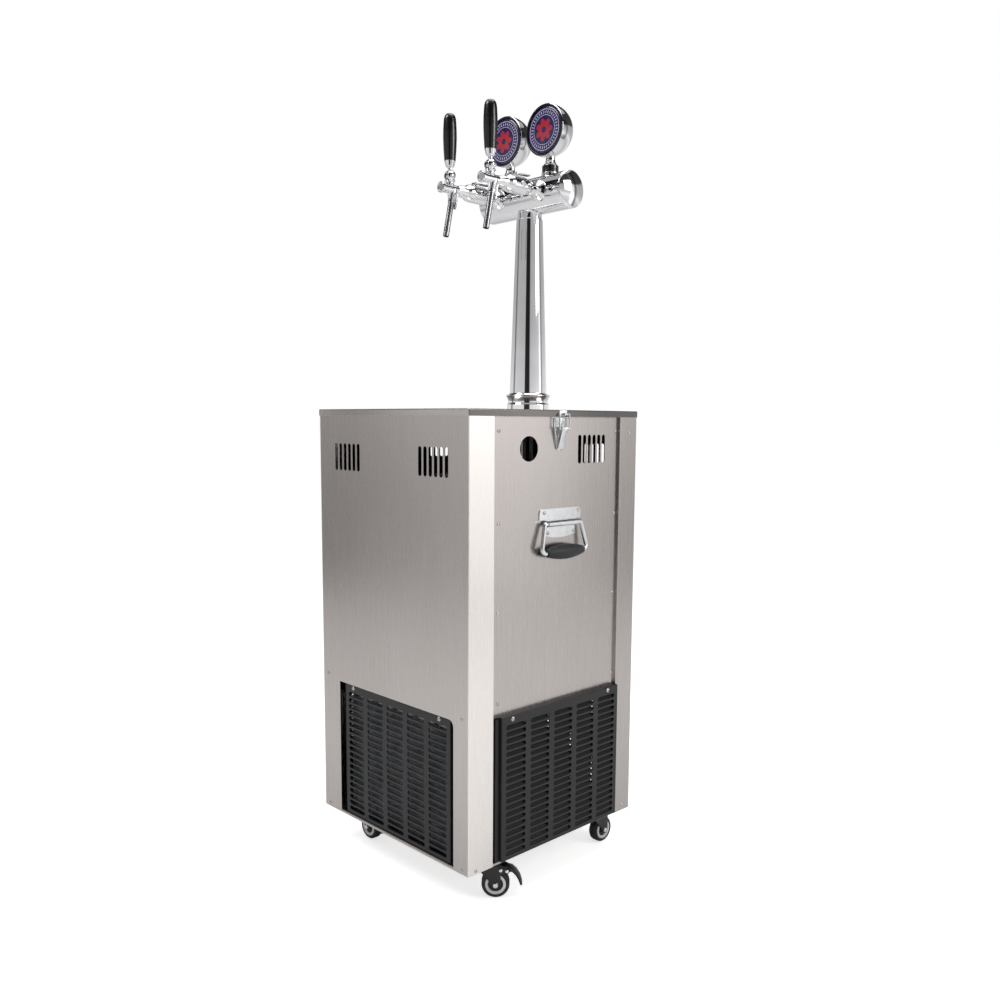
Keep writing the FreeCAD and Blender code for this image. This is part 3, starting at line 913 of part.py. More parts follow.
outline(pedalSketch, [
    ("pedalPivotU - 3", "pedalPivotZ - 3"), ("pedalPivotU + 3", "pedalPivotZ - 3"), ("pedalPivotU + 9", "pedalPivotZ - 2"),
    ("pedalPivotU + 15", "pedalPivotZ - 8"), ("pedalPivotU + 20", "pedalPivotZ - 16"),
    ("pedalPivotU + 24", "pedalPivotZ - 27"), ("pedalPivotU + 27.5", "pedalPivotZ - 26"),
    ("pedalPivotU + 24", "pedalPivotZ - 14"), ("pedalPivotU + 18", "pedalPivotZ - 4"),
    ("pedalPivotU + 10", "pedalPivotZ + 3.5"), ("pedalPivotU + 4", "pedalPivotZ + 5"), ("pedalPivotU - 3", "pedalPivotZ + 3")])
pad(pedalBody, pedalSketch, "2*" + pedalHalf, True)
pedalHole = disc("PedalHole", "pedalPin + runFit", "2*" + pedalHalf, "pedalPivotU", "-" + pedalHalf, "pedalPivotZ", alongY)
pedal = cut("Pedal", pedalBody, pedalHole)
for tag, sx, sy, turn in corners:
    name = "".join(part.capitalize() for part in tag.split("_"))
    spot = dict(x="%s*casterX" % sx, y="%s*casterY" % sy, turn=((0, 0, 1), turn))
    braked = tag.startswith("front")
    keep(tag + "_fork", group(name + "Fork", [forks[braked]], **spot))
    keep(tag + "_wheel", group(name + "Wheel", [wheel], **spot))
    if braked:
        keep(tag + "_pedal", group(name + "Pedal", [pedal], **spot))

doc.recompute()
os.makedirs("parts", exist_ok=True)
for item in doc.Objects:
    if "Invalid" in item.State or "Error" in item.State:
        raise RuntimeError("%s did not recompute: %s" % (item.Name, item.State))
for label, item in subParts.items():
    shape = item.Shape
    if shape.isNull() or not shape.isValid():
        raise RuntimeError("%s has no valid shape" % label)
    shape.exportStep("parts/%s.step" % label)
    print(label, len(shape.Solids), "solids", round(shape.Volume), "mm3")
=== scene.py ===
import bpy
import bmesh
import json
import math
import numpy as np
from mathutils import Matrix, Vector
from mathutils.geometry import tessellate_polygon


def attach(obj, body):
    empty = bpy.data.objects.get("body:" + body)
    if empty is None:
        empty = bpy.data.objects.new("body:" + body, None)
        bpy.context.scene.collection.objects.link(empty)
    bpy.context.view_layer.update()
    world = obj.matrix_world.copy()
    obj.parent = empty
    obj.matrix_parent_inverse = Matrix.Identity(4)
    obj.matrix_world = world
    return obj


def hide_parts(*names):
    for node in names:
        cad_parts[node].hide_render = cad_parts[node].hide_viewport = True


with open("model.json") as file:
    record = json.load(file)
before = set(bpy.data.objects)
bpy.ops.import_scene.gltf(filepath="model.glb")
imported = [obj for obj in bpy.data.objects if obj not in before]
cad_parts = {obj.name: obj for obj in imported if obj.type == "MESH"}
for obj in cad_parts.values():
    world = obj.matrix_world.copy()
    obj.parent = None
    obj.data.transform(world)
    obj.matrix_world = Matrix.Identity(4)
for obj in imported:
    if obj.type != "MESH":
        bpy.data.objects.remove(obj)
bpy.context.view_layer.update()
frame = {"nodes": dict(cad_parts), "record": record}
record = frame["record"]
bodyOf = {node: body for body, nodes in record["behaviour"]["bodies"].items() for node in nodes}
scene = bpy.context.scene
mm = 0.001
tiny = 1e-6
nearPoint = 0.001
ux, uy, uz = np.eye(3)

satin = {"roughness": 0.27, "from": 0.24, "to": 0.3, "anisotropic": 0.3, "detail": 4.0,
         "cloud": (3.1, 3.1, 1.7), "rampLow": 0.36, "rampHigh": 0.64, "bump": 0.012}
haze = {"scale": 26.0, "detail": 3.0, "rampLow": 0.3, "rampHigh": 0.7, "swing": 0.3}
spark = {"pitch": 0.6, "bump": 0.15, "drift": 14.0, "down": 0.08, "up": 0.1, "least": 0.02}
slowDetail = 2.0
bumpDepth = 0.0002


def linear(code):
    # sRGB hex to the linear values that the shader wants
    parts = np.array([int(code[i:i + 2], 16) for i in (1, 3, 5)]) / 255
    return tuple(np.where(parts <= 0.04045, parts / 12.92, ((parts + 0.055) / 1.055) ** 2.4)) + (1.0,)


def addNode(tree, kind, settings=None, links=None):
    # settings go to inputs by name, or else to the node itself; links are input name to output socket
    node = tree.nodes.new(kind)
    for key, value in (settings or {}).items():
        if key in node.inputs:
            node.inputs[key].default_value = value
        else:
            setattr(node, key, value)
    for key, source in (links or {}).items():
        tree.links.new(source, node.inputs[key])
    return node


def mathOn(tree, operation, *values):
    # one Math node; each value is a number or an output socket
    node = addNode(tree, "ShaderNodeMath", {"operation": operation})
    for slot, value in zip(node.inputs, values):
        if isinstance(value, (int, float)):
            slot.default_value = value
        else:
            tree.links.new(value, slot)
    return node.outputs[0]


def newMaterial(name, settings):
    material = bpy.data.materials.new(name)
    material.use_nodes = True
    tree = material.node_tree
    shader = tree.nodes["Principled BSDF"]
    for key, value in settings.items():
        shader.inputs[key].default_value = linear(value) if isinstance(value, str) else value
    return material, tree, shader, addNode(tree, "ShaderNodeTexCoord")


def grainOn(tree, place, stretch, detail):
    # one noise pattern; stretch is cycles per metre along x, y and z
    mapping = addNode(tree, "ShaderNodeMapping", {"Scale": stretch}, {"Vector": place.outputs["Object"]})
    noise = addNode(tree, "ShaderNodeTexNoise", {"Scale": 1.0, "Detail": detail},
                    {"Vector": mapping.outputs["Vector"]})
    return noise.outputs["Fac"]


def rampOn(tree, level, low, high, colors):
    # the first colour up to low, the second from high on
    ramp = addNode(tree, "ShaderNodeValToRGB", links={"Fac": level})
    for stop, place, color in zip(ramp.color_ramp.elements, (low, high), colors):
        stop.position = place
        stop.color = linear(color)
    return ramp.outputs["Color"]


def scaledOn(tree, level, low, high):
    # 0 to 1 becomes low to high
    node = addNode(tree, "ShaderNodeMapRange", {"To Min": low, "To Max": high}, {"Value": level})
    return node.outputs["Result"]


def dress(tree, shader, color, roughness, grain, bump):
    # colour and roughness from their sockets, and a bump from the grain
    tree.links.new(color, shader.inputs["Base Color"])
    tree.links.new(roughness, shader.inputs["Roughness"])
    if bump:
        node = addNode(tree, "ShaderNodeBump", {"Strength": bump, "Distance": bumpDepth}, {"Height": grain})
        tree.links.new(node.outputs["Normal"], shader.inputs["Normal"])


def brushedStainless(name, stretch, tint=("#b9b2af", "#c4bebb")):
    # cold rolled stainless, belt brushed: fine parallel scratches that smear reflections
    # across the grain; real scratches are 0.1 mm apart and are drawn 1 mm apart to show
    material, tree, shader, place = newMaterial(
        name, {"Metallic": 1.0, "Roughness": satin["roughness"], "Anisotropic": satin["anisotropic"]})
    grain = grainOn(tree, place, stretch, satin["detail"])
    cloud = grainOn(tree, place, satin["cloud"], slowDetail)
    mixed = mathOn(tree, "MULTIPLY", mathOn(tree, "ADD", grain, cloud), 0.5)
    color = rampOn(tree, mixed, satin["rampLow"], satin["rampHigh"], tint)
    dress(tree, shader, color, scaledOn(tree, grain, satin["from"], satin["to"]), grain, satin["bump"])
    return material


def polishedMetal(name, colors, roughness, hazeScale=haze["scale"], bump=0.0):
    # plated or polished metal: a slow haze of wiping marks keeps the mirror from looking painted
    material, tree, shader, place = newMaterial(name, {"Metallic": 1.0, "Roughness": roughness})
    cloud = grainOn(tree, place, (hazeScale,) * 3, haze["detail"])
    color = rampOn(tree, cloud, haze["rampLow"], haze["rampHigh"], colors)
    rough = scaledOn(tree, cloud, roughness * (1 - haze["swing"]), roughness * (1 + haze["swing"]))
    dress(tree, shader, color, rough, cloud, bump)
    return material


def mouldedPlastic(name, colors, roughness, pitch=spark["pitch"], bump=spark["bump"], coat=0.0):
    # moulded or coated surface: fine spark texture, its pitch in mm, with slow colour drift
    material, tree, shader, place = newMaterial(name, {"Roughness": roughness, "Coat Weight": coat, "IOR": 1.5})
    grain = grainOn(tree, place, (1 / (pitch * mm),) * 3, slowDetail)
    drift = grainOn(tree, place, (spark["drift"],) * 3, slowDetail)
    color = rampOn(tree, drift, haze["rampLow"], haze["rampHigh"], colors)
    rough = scaledOn(tree, grain, max(roughness - spark["down"], spark["least"]), roughness + spark["up"])
    dress(tree, shader, color, rough, grain, bump)
    return material


# satin sheet of the panels, its grain upright: soft grey with smeared lights
steelUpright = brushedStainless("brushedStainlessUpright", (1000.0, 1000.0, 9.0))
# the lid, its grain from side to side
steelLid = brushedStainless("brushedStainlessLid", (9.0, 1000.0, 1000.0))
# the lid's two side rims, where the grain stands across the edge: a darker copy of the lid steel, painted shade where
# they take less light
steelLidPaintedShade = brushedStainless("brushedStainlessLidSidePaintedShade", (9.0, 1000.0, 1000.0), ("#716e6c", "#7e7b79"))
# sheet as it leaves the mill: even, duller grey inside the cabinet
steelInner = brushedStainless("millFinishSteel", (220.0, 220.0, 220.0), ("#7f8182", "#9a9b9c"))
# the folded front corners, in a near-white copy of the satin sheet: painted highlight where the satin takes the lamp
steelReturnPaintedHighlight = brushedStainless("brushedStainlessReturnPaintedHighlight", (1000.0, 1000.0, 9.0), ("#ebe5e1", "#f3eeea"))
# black on the inner faces of the sheets: painted shade that keeps every opening black
shadeLining = mouldedPlastic("paintedShadeLining", ("#060607", "#0b0b0c"), 0.9, 2.0, 0.3)
# chrome on polished brass: a mirror with hard black and white bands
chrome = polishedMetal("chromePlatedBrass", ("#e0e0e2", "#e9e9eb"), 0.035)
# drawn stainless tube: one long soft highlight
tubeSteel = polishedMetal("polishedStainlessTube", ("#8f9092", "#a6a7a9"), 0.3)
# zinc plate on pressed steel: pale and a little milky
zinc = polishedMetal("brightZincPlate", ("#dcdddf", "#e8e9ea"), 0.24, 90.0)
# nickel plate: small warm glints on the screws
screwSteel = polishedMetal("nickelPlatedScrew", ("#b4b1ac", "#cbc8c2"), 0.18)
# drawn copper: dull orange metal
copper = polishedMetal("drawnCopperTube", ("#b5703f", "#cf8a58"), 0.3, 120.0, 0.1)
# rolled aluminium: pale soft lines behind the slots
finMetal = polishedMetal("rolledAluminiumFin", ("#a9acaf", "#c4c6c8"), 0.38)
# spark-textured ABS: black with a faint grey sheen, and a deeper black copy for the blades behind the slots, painted
# shade
louvrePlastic = mouldedPlastic("blackAbsGrille", ("#0f0f12", "#16161a"), 0.45, 0.7, 0.08)
bladePaintedShade = mouldedPlastic("blackAbsBladePaintedShade", ("#050506", "#08080a"), 0.6, 0.7, 0.08)
# polished phenolic: deep black with a wet highlight
gripPlastic = mouldedPlastic("blackPhenolicGrip", ("#0b0b0c", "#121214"), 0.22, 1.4, 0.03, 0.3)
# moulded rubber of the chest grips, and the wheels' tread: matt charcoal
rubber = mouldedPlastic("blackRubber", ("#141415", "#1d1d1e"), 0.5, 0.5, 0.25)
treadRubber = mouldedPlastic("wheelRubber", ("#151516", "#1f1f20"), 0.55, 0.4, 0.3)
# powder coat: black with fine orange peel
powderBlack = mouldedPlastic("blackPowderCoat", ("#101113", "#191a1c"), 0.34, 0.5, 0.3)
# stove enamel: smooth glossy black
enamelBlack = mouldedPlastic("blackStoveEnamel", ("#0e0e0f", "#171718"), 0.25, 1.2, 0.08)
# nylon: soft white ring in the wheels
ringNylon = mouldedPlastic("whiteNylonRing", ("#d9dadb", "#e8e9ea"), 0.4, 0.8, 0.05)
# moulded box: flat mid grey
boxGrey = mouldedPlastic("greyMouldedBox", ("#5d6063", "#6d7073"), 0.45)
# sprayed foam: rough cream
foamCream = mouldedPlastic("insulationFoam", ("#c9bd98", "#ddd2b0"), 0.85, 2.5, 0.6)
# beer hose: milky, smooth
milkHose = mouldedPlastic("milkyBeerHose", ("#c9cac4", "#dcddd8"), 0.3, 1.5, 0.04)
# polished acetal: glossy black trim
blackTrim = mouldedPlastic("blackAcetalTrim", ("#0c0c0e", "#141417"), 0.18, 1.2, 0.03, 0.4)

rosette = {"halfPetals": 3.5, "petalFoot": 0.3, "petalRise": 0.2, "heart": 0.13,
           "rings": ((0.62, 0.014), (0.86, 0.02)), "tickBand": (0.74, 0.055), "ticks": 36.0, "tickCut": 0.25,
           "ground": ("#1d1646", "#2d2563"), "cloud": 60.0, "rose": "#b02437", "pale": "#b5b1c8"}


def overlay(tree, share, below, color):
    # color laid over below where share is 1
    mix = addNode(tree, "ShaderNodeMix", {"data_type": "RGBA"})
    tree.links.new(share, mix.inputs[0])
    tree.links.new(below, mix.inputs[6])
    mix.inputs[7].default_value = linear(color)
    return mix.outputs[2]


def domedPrint():
    # clear resin dome over a violet print: deep colour under a wet highlight. A rosette fills
    # radius < petalFoot + petalRise * |cos(3.5 angle)| outside its heart, with two thin rings and
    # ticks where sin(36 angle) > tickCut; the uv map runs from -1 to 1 across the disc
    p = rosette
    material, tree, shader, place = newMaterial(
        "resinDomedPrint", {"Roughness": 0.2, "Coat Weight": 0.7, "Coat Roughness": 0.02, "IOR": 1.45})
    parts = addNode(tree, "ShaderNodeSeparateXYZ", links={"Vector": place.outputs["UV"]})
    across, up = parts.outputs["X"], parts.outputs["Y"]

    def calc(*values):
        return mathOn(tree, *values)

    def near(ring):
        return calc("LESS_THAN", calc("ABSOLUTE", calc("SUBTRACT", radius, ring[0])), ring[1])

    radius = calc("SQRT", calc("ADD", calc("MULTIPLY", across, across), calc("MULTIPLY", up, up)))
    angle = calc("ARCTAN2", up, across)
    wave = calc("ABSOLUTE", calc("COSINE", calc("MULTIPLY", angle, p["halfPetals"])))
    petal = calc("MULTIPLY_ADD", wave, p["petalRise"], p["petalFoot"])
    rose = calc("MULTIPLY", calc("LESS_THAN", radius, petal), calc("GREATER_THAN", radius, p["heart"]))
    teeth = calc("GREATER_THAN", calc("SINE", calc("MULTIPLY", angle, p["ticks"])), p["tickCut"])
    ticks = calc("MULTIPLY", near(p["tickBand"]), teeth)
    pale = calc("MAXIMUM", calc("MAXIMUM", near(p["rings"][0]), near(p["rings"][1])), ticks)
    cloud = grainOn(tree, place, (p["cloud"],) * 3, slowDetail)
    ground = rampOn(tree, cloud, haze["rampLow"], haze["rampHigh"], p["ground"])
    color = overlay(tree, pale, overlay(tree, rose, ground, p["rose"]), p["pale"])
    tree.links.new(color, shader.inputs["Base Color"])
    return material


facePrint = domedPrint()
print("materials ready")

corners = {"share": 0.42, "guard": 1.12, "straight": 1e-3}
easing = {"segments": 2, "angle": 32.0, "weld": 1e-6, "flat": 1.0}


def rounded(points, radii, steps=6, closed=False):
    # replaces each inner corner of a polyline with an arc, and puts a point just before and
    # just after it so that flat stretches shade flat
    points = np.asarray(points, float)
    radii = np.broadcast_to(radii, len(points))
    count, out = len(points), []
    for i, (here, radius) in enumerate(zip(points, radii)):
        if radius <= 0 or (not closed and i in (0, count - 1)):
            out.append(here[None])
            continue
        back, ahead = points[i - 1] - here, points[(i + 1) % count] - here
        longBack, longAhead = np.linalg.norm(back), np.linalg.norm(ahead)
        back, ahead = back / longBack, ahead / longAhead
        half = math.acos(float(np.clip(back @ ahead, -1, 1))) / 2
        if half > math.pi / 2 - corners["straight"]:
            out.append(here[None])
            continue
        reach = min(radius / math.tan(half), corners["share"] * longBack, corners["share"] * longAhead)
        size = reach * math.tan(half)
        middle = (back + ahead) / np.linalg.norm(back + ahead)
        centre = here + middle * size / math.sin(half)
        first, last = (here + back * reach - centre) / size, (here + ahead * reach - centre) / size
        turn = math.acos(float(np.clip(first @ last, -1, 1)))
        share = np.linspace(0, 1, steps + 1)[:, None]
        arc = np.sin((1 - share) * turn) * first + np.sin(share * turn) * last
        arc = arc / math.sin(turn) * size + centre
        guard = reach * corners["guard"]
        out += [(here + back * guard)[None], arc, (here + ahead * guard)[None]]
    return np.vstack(out)


def arcPoints(cx, cy, radius, start, end, steps=16):
    angle = np.radians(np.linspace(start, end, steps + 1))
    return np.column_stack([cx + radius * np.cos(angle), cy + radius * np.sin(angle)])


def circle(cx, cy, radius, count):
    return arcPoints(cx, cy, radius, 0, 360 - 360 / count, count - 1)


def obround(x, foot, high, wide):
    # upright slot: two half circles of radius wide/2 joined by straight sides
    r = wide / 2
    return np.vstack([arcPoints(x, foot + high - r, r, 0, 180, 12), arcPoints(x, foot + r, r, 180, 360, 12)])


def boxLoop(x0, x1, z0, z1, radius, steps):
    # rectangle with rounded corners, anticlockwise from the lower left
    left, right, low, high = x0 + radius, x1 - radius, z0 + radius, z1 - radius
    places = ((left, low, 180), (right, low, 270), (right, high, 0), (left, high, 90))
    return np.vstack([arcPoints(x, z, radius, start, start + 90, steps) for x, z, start in places])


def shoelace(loop):
    # twice the signed area, above 0 when the loop runs anticlockwise
    after = np.roll(loop, -1, axis=0)
    return np.sum(loop[:, 0] * after[:, 1] - after[:, 0] * loop[:, 1])


def domeRadius(half, rise):
    # radius of the sphere whose cap is 2 * half wide and rise high
    return (half ** 2 + rise ** 2) / (2 * rise)


def meshFrom(name, verts, faces, material, normals=None, uvs=None, smooth=True):
    # one object; smooth is one flag for all faces or one for each
    mesh = bpy.data.meshes.new(name)
    mesh.from_pydata(np.asarray(verts, float).tolist(), [], faces)
    mesh.polygons.foreach_set("use_smooth", np.full(len(mesh.polygons), smooth, bool))
    if uvs is not None:
        layer = mesh.uv_layers.new(name="UVMap")
        index = np.empty(len(mesh.loops), int)
        mesh.loops.foreach_get("vertex_index", index)
        layer.data.foreach_set("uv", np.asarray(uvs, float)[index].ravel())
    mesh.update()
    if normals is not None:
        mesh.normals_split_custom_set_from_vertices(np.asarray(normals, float).tolist())
    mesh.materials.append(material)
    piece = bpy.data.objects.new(name, mesh)
    scene.collection.objects.link(piece)
    return piece


def secondMaterial(piece, material, chosen):
    # the chosen faces take a second material
    piece.data.materials.append(material)
    piece.data.polygons.foreach_set("material_index", np.asarray(chosen).astype(int))


def sides(axis):
    # two unit vectors square to the axis and to each other, and the axis itself
    axis = np.asarray(axis, float) / np.linalg.norm(axis)
    first = np.cross(ux if abs(axis[0]) < 0.9 else uy, axis)
    first /= np.linalg.norm(first)
    return first, np.cross(axis, first), axis


def ringFaces(rows, count, closed=False):
    # quads between neighbouring rings of a rows x count grid, closed round the ring
    i, j = np.meshgrid(np.arange(rows if closed else rows - 1), np.arange(count), indexing="ij")
    i, j = i.ravel(), j.ravel()
    up, right = (i + 1) % rows, (j + 1) % count
    return np.column_stack([i * count + j, i * count + right, up * count + right, up * count + j]).tolist()


def wallFaces(start, count, shift, flip=False):
    # quads between a loop of count points and its copy, whose points come shift places later
    here = start + np.arange(count)
    after = start + (np.arange(count) + 1) % count
    first, second = (after, here) if flip else (here, after)
    return np.column_stack([first, second, second + shift, first + shift]).tolist()


def lathe(name, profile, radii, origin, axis, material, count=72, closed=False, steps=5, uv=None):
    # surface of revolution: point = origin + r * (cos a * e1 + sin a * e2) + h * axis, with the
    # (r, h) profile in mm running anticlockwise; normals come from the profile itself
    line = rounded(profile, radii, steps, closed)
    line = line[np.r_[True, np.linalg.norm(np.diff(line, axis=0), axis=1) > tiny]]
    edge = np.roll(line, -1, axis=0) - line if closed else np.diff(line, axis=0)
    edge = np.column_stack([edge[:, 1], -edge[:, 0]])
    edge /= np.linalg.norm(edge, axis=1)[:, None]
    if closed:
        normal = edge + np.roll(edge, 1, axis=0)
    else:
        normal = np.vstack([edge[:1], edge[:-1] + edge[1:], edge[-1:]])
        for end in (0, -1):
            if line[end, 0] < tiny:
                normal[end, 0] = 0
    normal /= np.linalg.norm(normal, axis=1)[:, None]
    e1, e2, e3 = sides(axis)
    angle = np.arange(count) * 2 * np.pi / count
    radial = np.cos(angle)[:, None] * e1 + np.sin(angle)[:, None] * e2
    r, h = line[:, 0, None, None] * mm, line[:, 1, None, None] * mm
    around = (r * radial + h * e3).reshape(-1, 3)
    verts = np.asarray(origin) * mm + around
    normals = (normal[:, 0, None, None] * radial + normal[:, 1, None, None] * e3).reshape(-1, 3)
    # the ring of a pole becomes one vertex
    rows = len(line)
    merged = np.arange(rows * count)
    for row in (0, rows - 1):
        if line[row, 0] < tiny and not closed:
            merged[row * count:(row + 1) * count] = row * count
    used, index = np.unique(merged, return_inverse=True)
    faces = [list(dict.fromkeys(face)) for face in index[np.array(ringFaces(rows, count, closed))].tolist()]
    faces = [face for face in faces if len(face) > 2]
    uvs = np.column_stack([around @ uv[0], around @ uv[1]])[used] / (uv[2] * mm) if uv else None
    return meshFrom(name, verts[used], faces, material, normals[used], uvs)


def rod(name, points, bends, radius, material, count=24, ends=0.4):
    # round bar carried along a polyline with rounded corners; the frame is passed from point to
    # point without twist, and both ends are closed with a small edge round
    path = rounded(points, bends, 8)
    tangent = np.gradient(path, axis=0)
    tangent[0], tangent[-1] = path[1] - path[0], path[-1] - path[-2]
    tangent /= np.linalg.norm(tangent, axis=1)[:, None]
    side = [sides(tangent[0])[0]]
    for here in tangent[1:]:
        step = side[-1] - (side[-1] @ here) * here
        side.append(step / np.linalg.norm(step))
    side = np.array(side)
    other = np.cross(tangent, side)
    last = len(path) - 1
    centres = np.vstack([path[:1], path[:1], path[:1] + tangent[:1] * ends, path[1:-1],
                         path[-1:] - tangent[-1:] * ends, path[-1:], path[-1:]])
    sizes = np.r_[nearPoint, radius - ends, radius, np.full(last - 1, radius), radius, radius - ends, nearPoint]
    pick = np.r_[0, 0, 0, np.arange(1, last), last, last, last]
    # how far each ring's normal leans along the bar
    lean = np.r_[-1.0, -0.75, 0, np.zeros(last - 1), 0, 0.75, 1.0]
    angle = np.arange(count) * 2 * np.pi / count
    radial = np.cos(angle)[:, None] * side[pick][:, None] + np.sin(angle)[:, None] * other[pick][:, None]
    verts = (centres[:, None] + sizes[:, None, None] * radial).reshape(-1, 3) * mm
    level = np.sqrt(1 - lean ** 2)[:, None, None]
    normals = (level * radial + lean[:, None, None] * tangent[pick][:, None]).reshape(-1, 3)
    return meshFrom(name, verts, ringFaces(len(centres), count), material, normals)


def easeEdges(piece, width):
    bevel = piece.modifiers.new("easedEdges", "BEVEL")
    bevel.width = width * mm
    bevel.segments = easing["segments"]
    bevel.limit_method = "ANGLE"
    bevel.angle_limit = math.radians(easing["angle"])
    bevel.harden_normals = True
    return piece


def plate(name, outline, thick, origin, u, v, material, corner=0.0, edge=0.25):
    # flat blank: an outline in the u, v plane, thick along u x v, with all edges eased
    line = rounded(outline, corner, 6, True) if np.any(np.asarray(corner) > 0) else np.asarray(outline, float)
    base = np.asarray(origin, float) + line[:, :1] * u + line[:, 1:] * v
    verts = np.vstack([base, base + np.cross(u, v) * thick]) * mm
    count = len(line)
    faces = [list(range(count))[::-1], list(range(count, 2 * count))] + wallFaces(0, count, count)
    return easeEdges(meshFrom(name, verts, faces, material), edge)


def block(name, one, other, material, edge=0.4):
    # box between two opposite corners, given in any order
    low, high = np.minimum(one, other), np.maximum(one, other)
    wide, deep, high = high - low
    return plate(name, [(0, 0), (wide, 0), (wide, deep), (0, deep)], high, low, ux, uy, material, 0, edge)


def holedSheet(name, outline, holes, thick, origin, u, v, material, insideShade=None):
    # flat sheet with holes, shaded flat: both faces are the tessellated outline, walls run round each loop
    loops = [np.asarray(loop, float) for loop in [outline] + holes]
    flat = np.vstack(loops)
    count = len(flat)
    base = np.asarray(origin, float) + flat[:, :1] * u + flat[:, 1:] * v
    verts = np.vstack([base, base - np.cross(u, v) * thick]) * mm
    tri = np.array(tessellate_polygon([[Vector((p[0], p[1], 0)) for p in loop] for loop in loops]))
    a, b, c = flat[tri[:, 0]], flat[tri[:, 1]], flat[tri[:, 2]]
    turn = (b[:, 0] - a[:, 0]) * (c[:, 1] - a[:, 1]) - (b[:, 1] - a[:, 1]) * (c[:, 0] - a[:, 0])
    tri = np.where(turn[:, None] > 0, tri, tri[:, ::-1])[abs(turn) > 1e-9]
    faces = tri.tolist() + (tri[:, ::-1] + count).tolist()
    start = 0
    for index, loop in enumerate(loops):
        solidInside = (shoelace(loop) > 0) == (index == 0)
        faces += wallFaces(start, len(loop), count, solidInside)
        start += len(loop)
    piece = meshFrom(name, verts, faces, material, smooth=False)
    # the inner faces take the black material: painted shade
    if insideShade:
        order = np.arange(len(faces))
        secondMaterial(piece, insideShade, (order >= len(tri)) & (order < 2 * len(tri)))
    return piece


def foldedStrip(name, outline, radii, low, high, material):
    # a bent edge of sheet: its plan outline with rounded folds, drawn up from low to high; the
    # short stretches of the folds shade smooth, and the ends have points of their own
    line = rounded(outline, radii, 5, True)
    line = line if shoelace(line) > 0 else line[::-1]
    n = len(line)
    verts = np.vstack([np.column_stack([line, np.full(n, z)]) for z in (low, high, low, high)]) * mm
    faces = wallFaces(0, n, n) + [list(range(2 * n, 3 * n))[::-1], list(range(3 * n, 4 * n))]
    spans = np.linalg.norm(np.roll(line, -1, axis=0) - line, axis=1)
    return meshFrom(name, verts, faces, material, smooth=np.r_[spans < cabinet["foldSpan"], False, False])


def goWith(node, *pieces):
    for piece in pieces:
        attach(piece, bodyOf[node])


def standFor(node, *pieces):
    for piece in pieces:
        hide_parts(node)
    goWith(node, *pieces)


def paint(material, *nodes):
    for node in nodes:
        data = frame["nodes"][node].data
        data.materials.clear()
        data.materials.append(material)


def softened(node, material, width):
    # a CAD sheet or bracket with its loose triangles joined and its edges eased
    work = bmesh.new()
    work.from_mesh(frame["nodes"][node].data)
    bmesh.ops.remove_doubles(work, verts=work.verts, dist=easing["weld"])
    bmesh.ops.dissolve_limit(work, angle_limit=math.radians(easing["flat"]), verts=work.verts, edges=work.edges)
    mesh = bpy.data.meshes.new(node + "Eased")
    work.to_mesh(mesh)
    work.free()
    mesh.materials.clear()
    mesh.materials.append(material)
    mesh.polygons.foreach_set("material_index", np.zeros(len(mesh.polygons), int))
    mesh.polygons.foreach_set("use_smooth", np.ones(len(mesh.polygons), bool))
    piece = bpy.data.objects.new(node + "_sheet", mesh)
    scene.collection.objects.link(piece)
    standFor(node, easeEdges(piece, width))


cabinet = {"half": 215.8, "foot": 70.0, "panelTop": 858.8, "sideFace": 209.8, "frontReturn": 58.0,
           "backReturn": 49.0, "sheet": 1.2, "bend": 2.2, "sideFoot": 332.0, "tuck": 14.0,
           "folds": (0, 2.2, 1.4, 0, 0, 0.3, 1.0, 0), "foldSpan": 1.2}
window = {"left": -159.0, "right": 177.0, "foot": 74.0, "head": 335.0, "corner": 12.0}
glandHole = {"x": -171.0, "z": 130.0, "radius": 9.0}
vents = {"wide": 9.0, "high": 51.0, "foot": 745.5, "first": 90.0, "pitch": 14.0, "count": 6}
sideVents = {"wide": 8.8, "high": 52.0, "foot": 764.0, "first": 59.0, "pitch": 13.2, "count": 6}
port = {"radius": 22.0, "y": -72.0, "z": 792.5}
lid = {"half": 217.3, "foot": 848.0, "top": 860.0, "inner": 205.0, "bend": 2.0, "corner": 2.5, "sheet": 1.2,
       "ease": 0.3, "lineHole": 20.0, "lineY": 137.0}
screwSet = {"radius": 3.6, "high": 1.45, "sideColumns": (-144, 160), "sideLevels": (823, 668, 514, 357),
            "cornerSpots": ((195, 819), (195, 80), (-199, 76)), "frontColumn": 199, "frontLevels": (343, 76.5)}
roundSteps = 48


def ventRow(row, sign):
    # upright slots in a row, counted from the sheet's middle outwards
    places = sign * (row["first"] + np.arange(row["count"]) * row["pitch"])
    return [obround(x, row["foot"], row["high"], row["wide"]) for x in places]


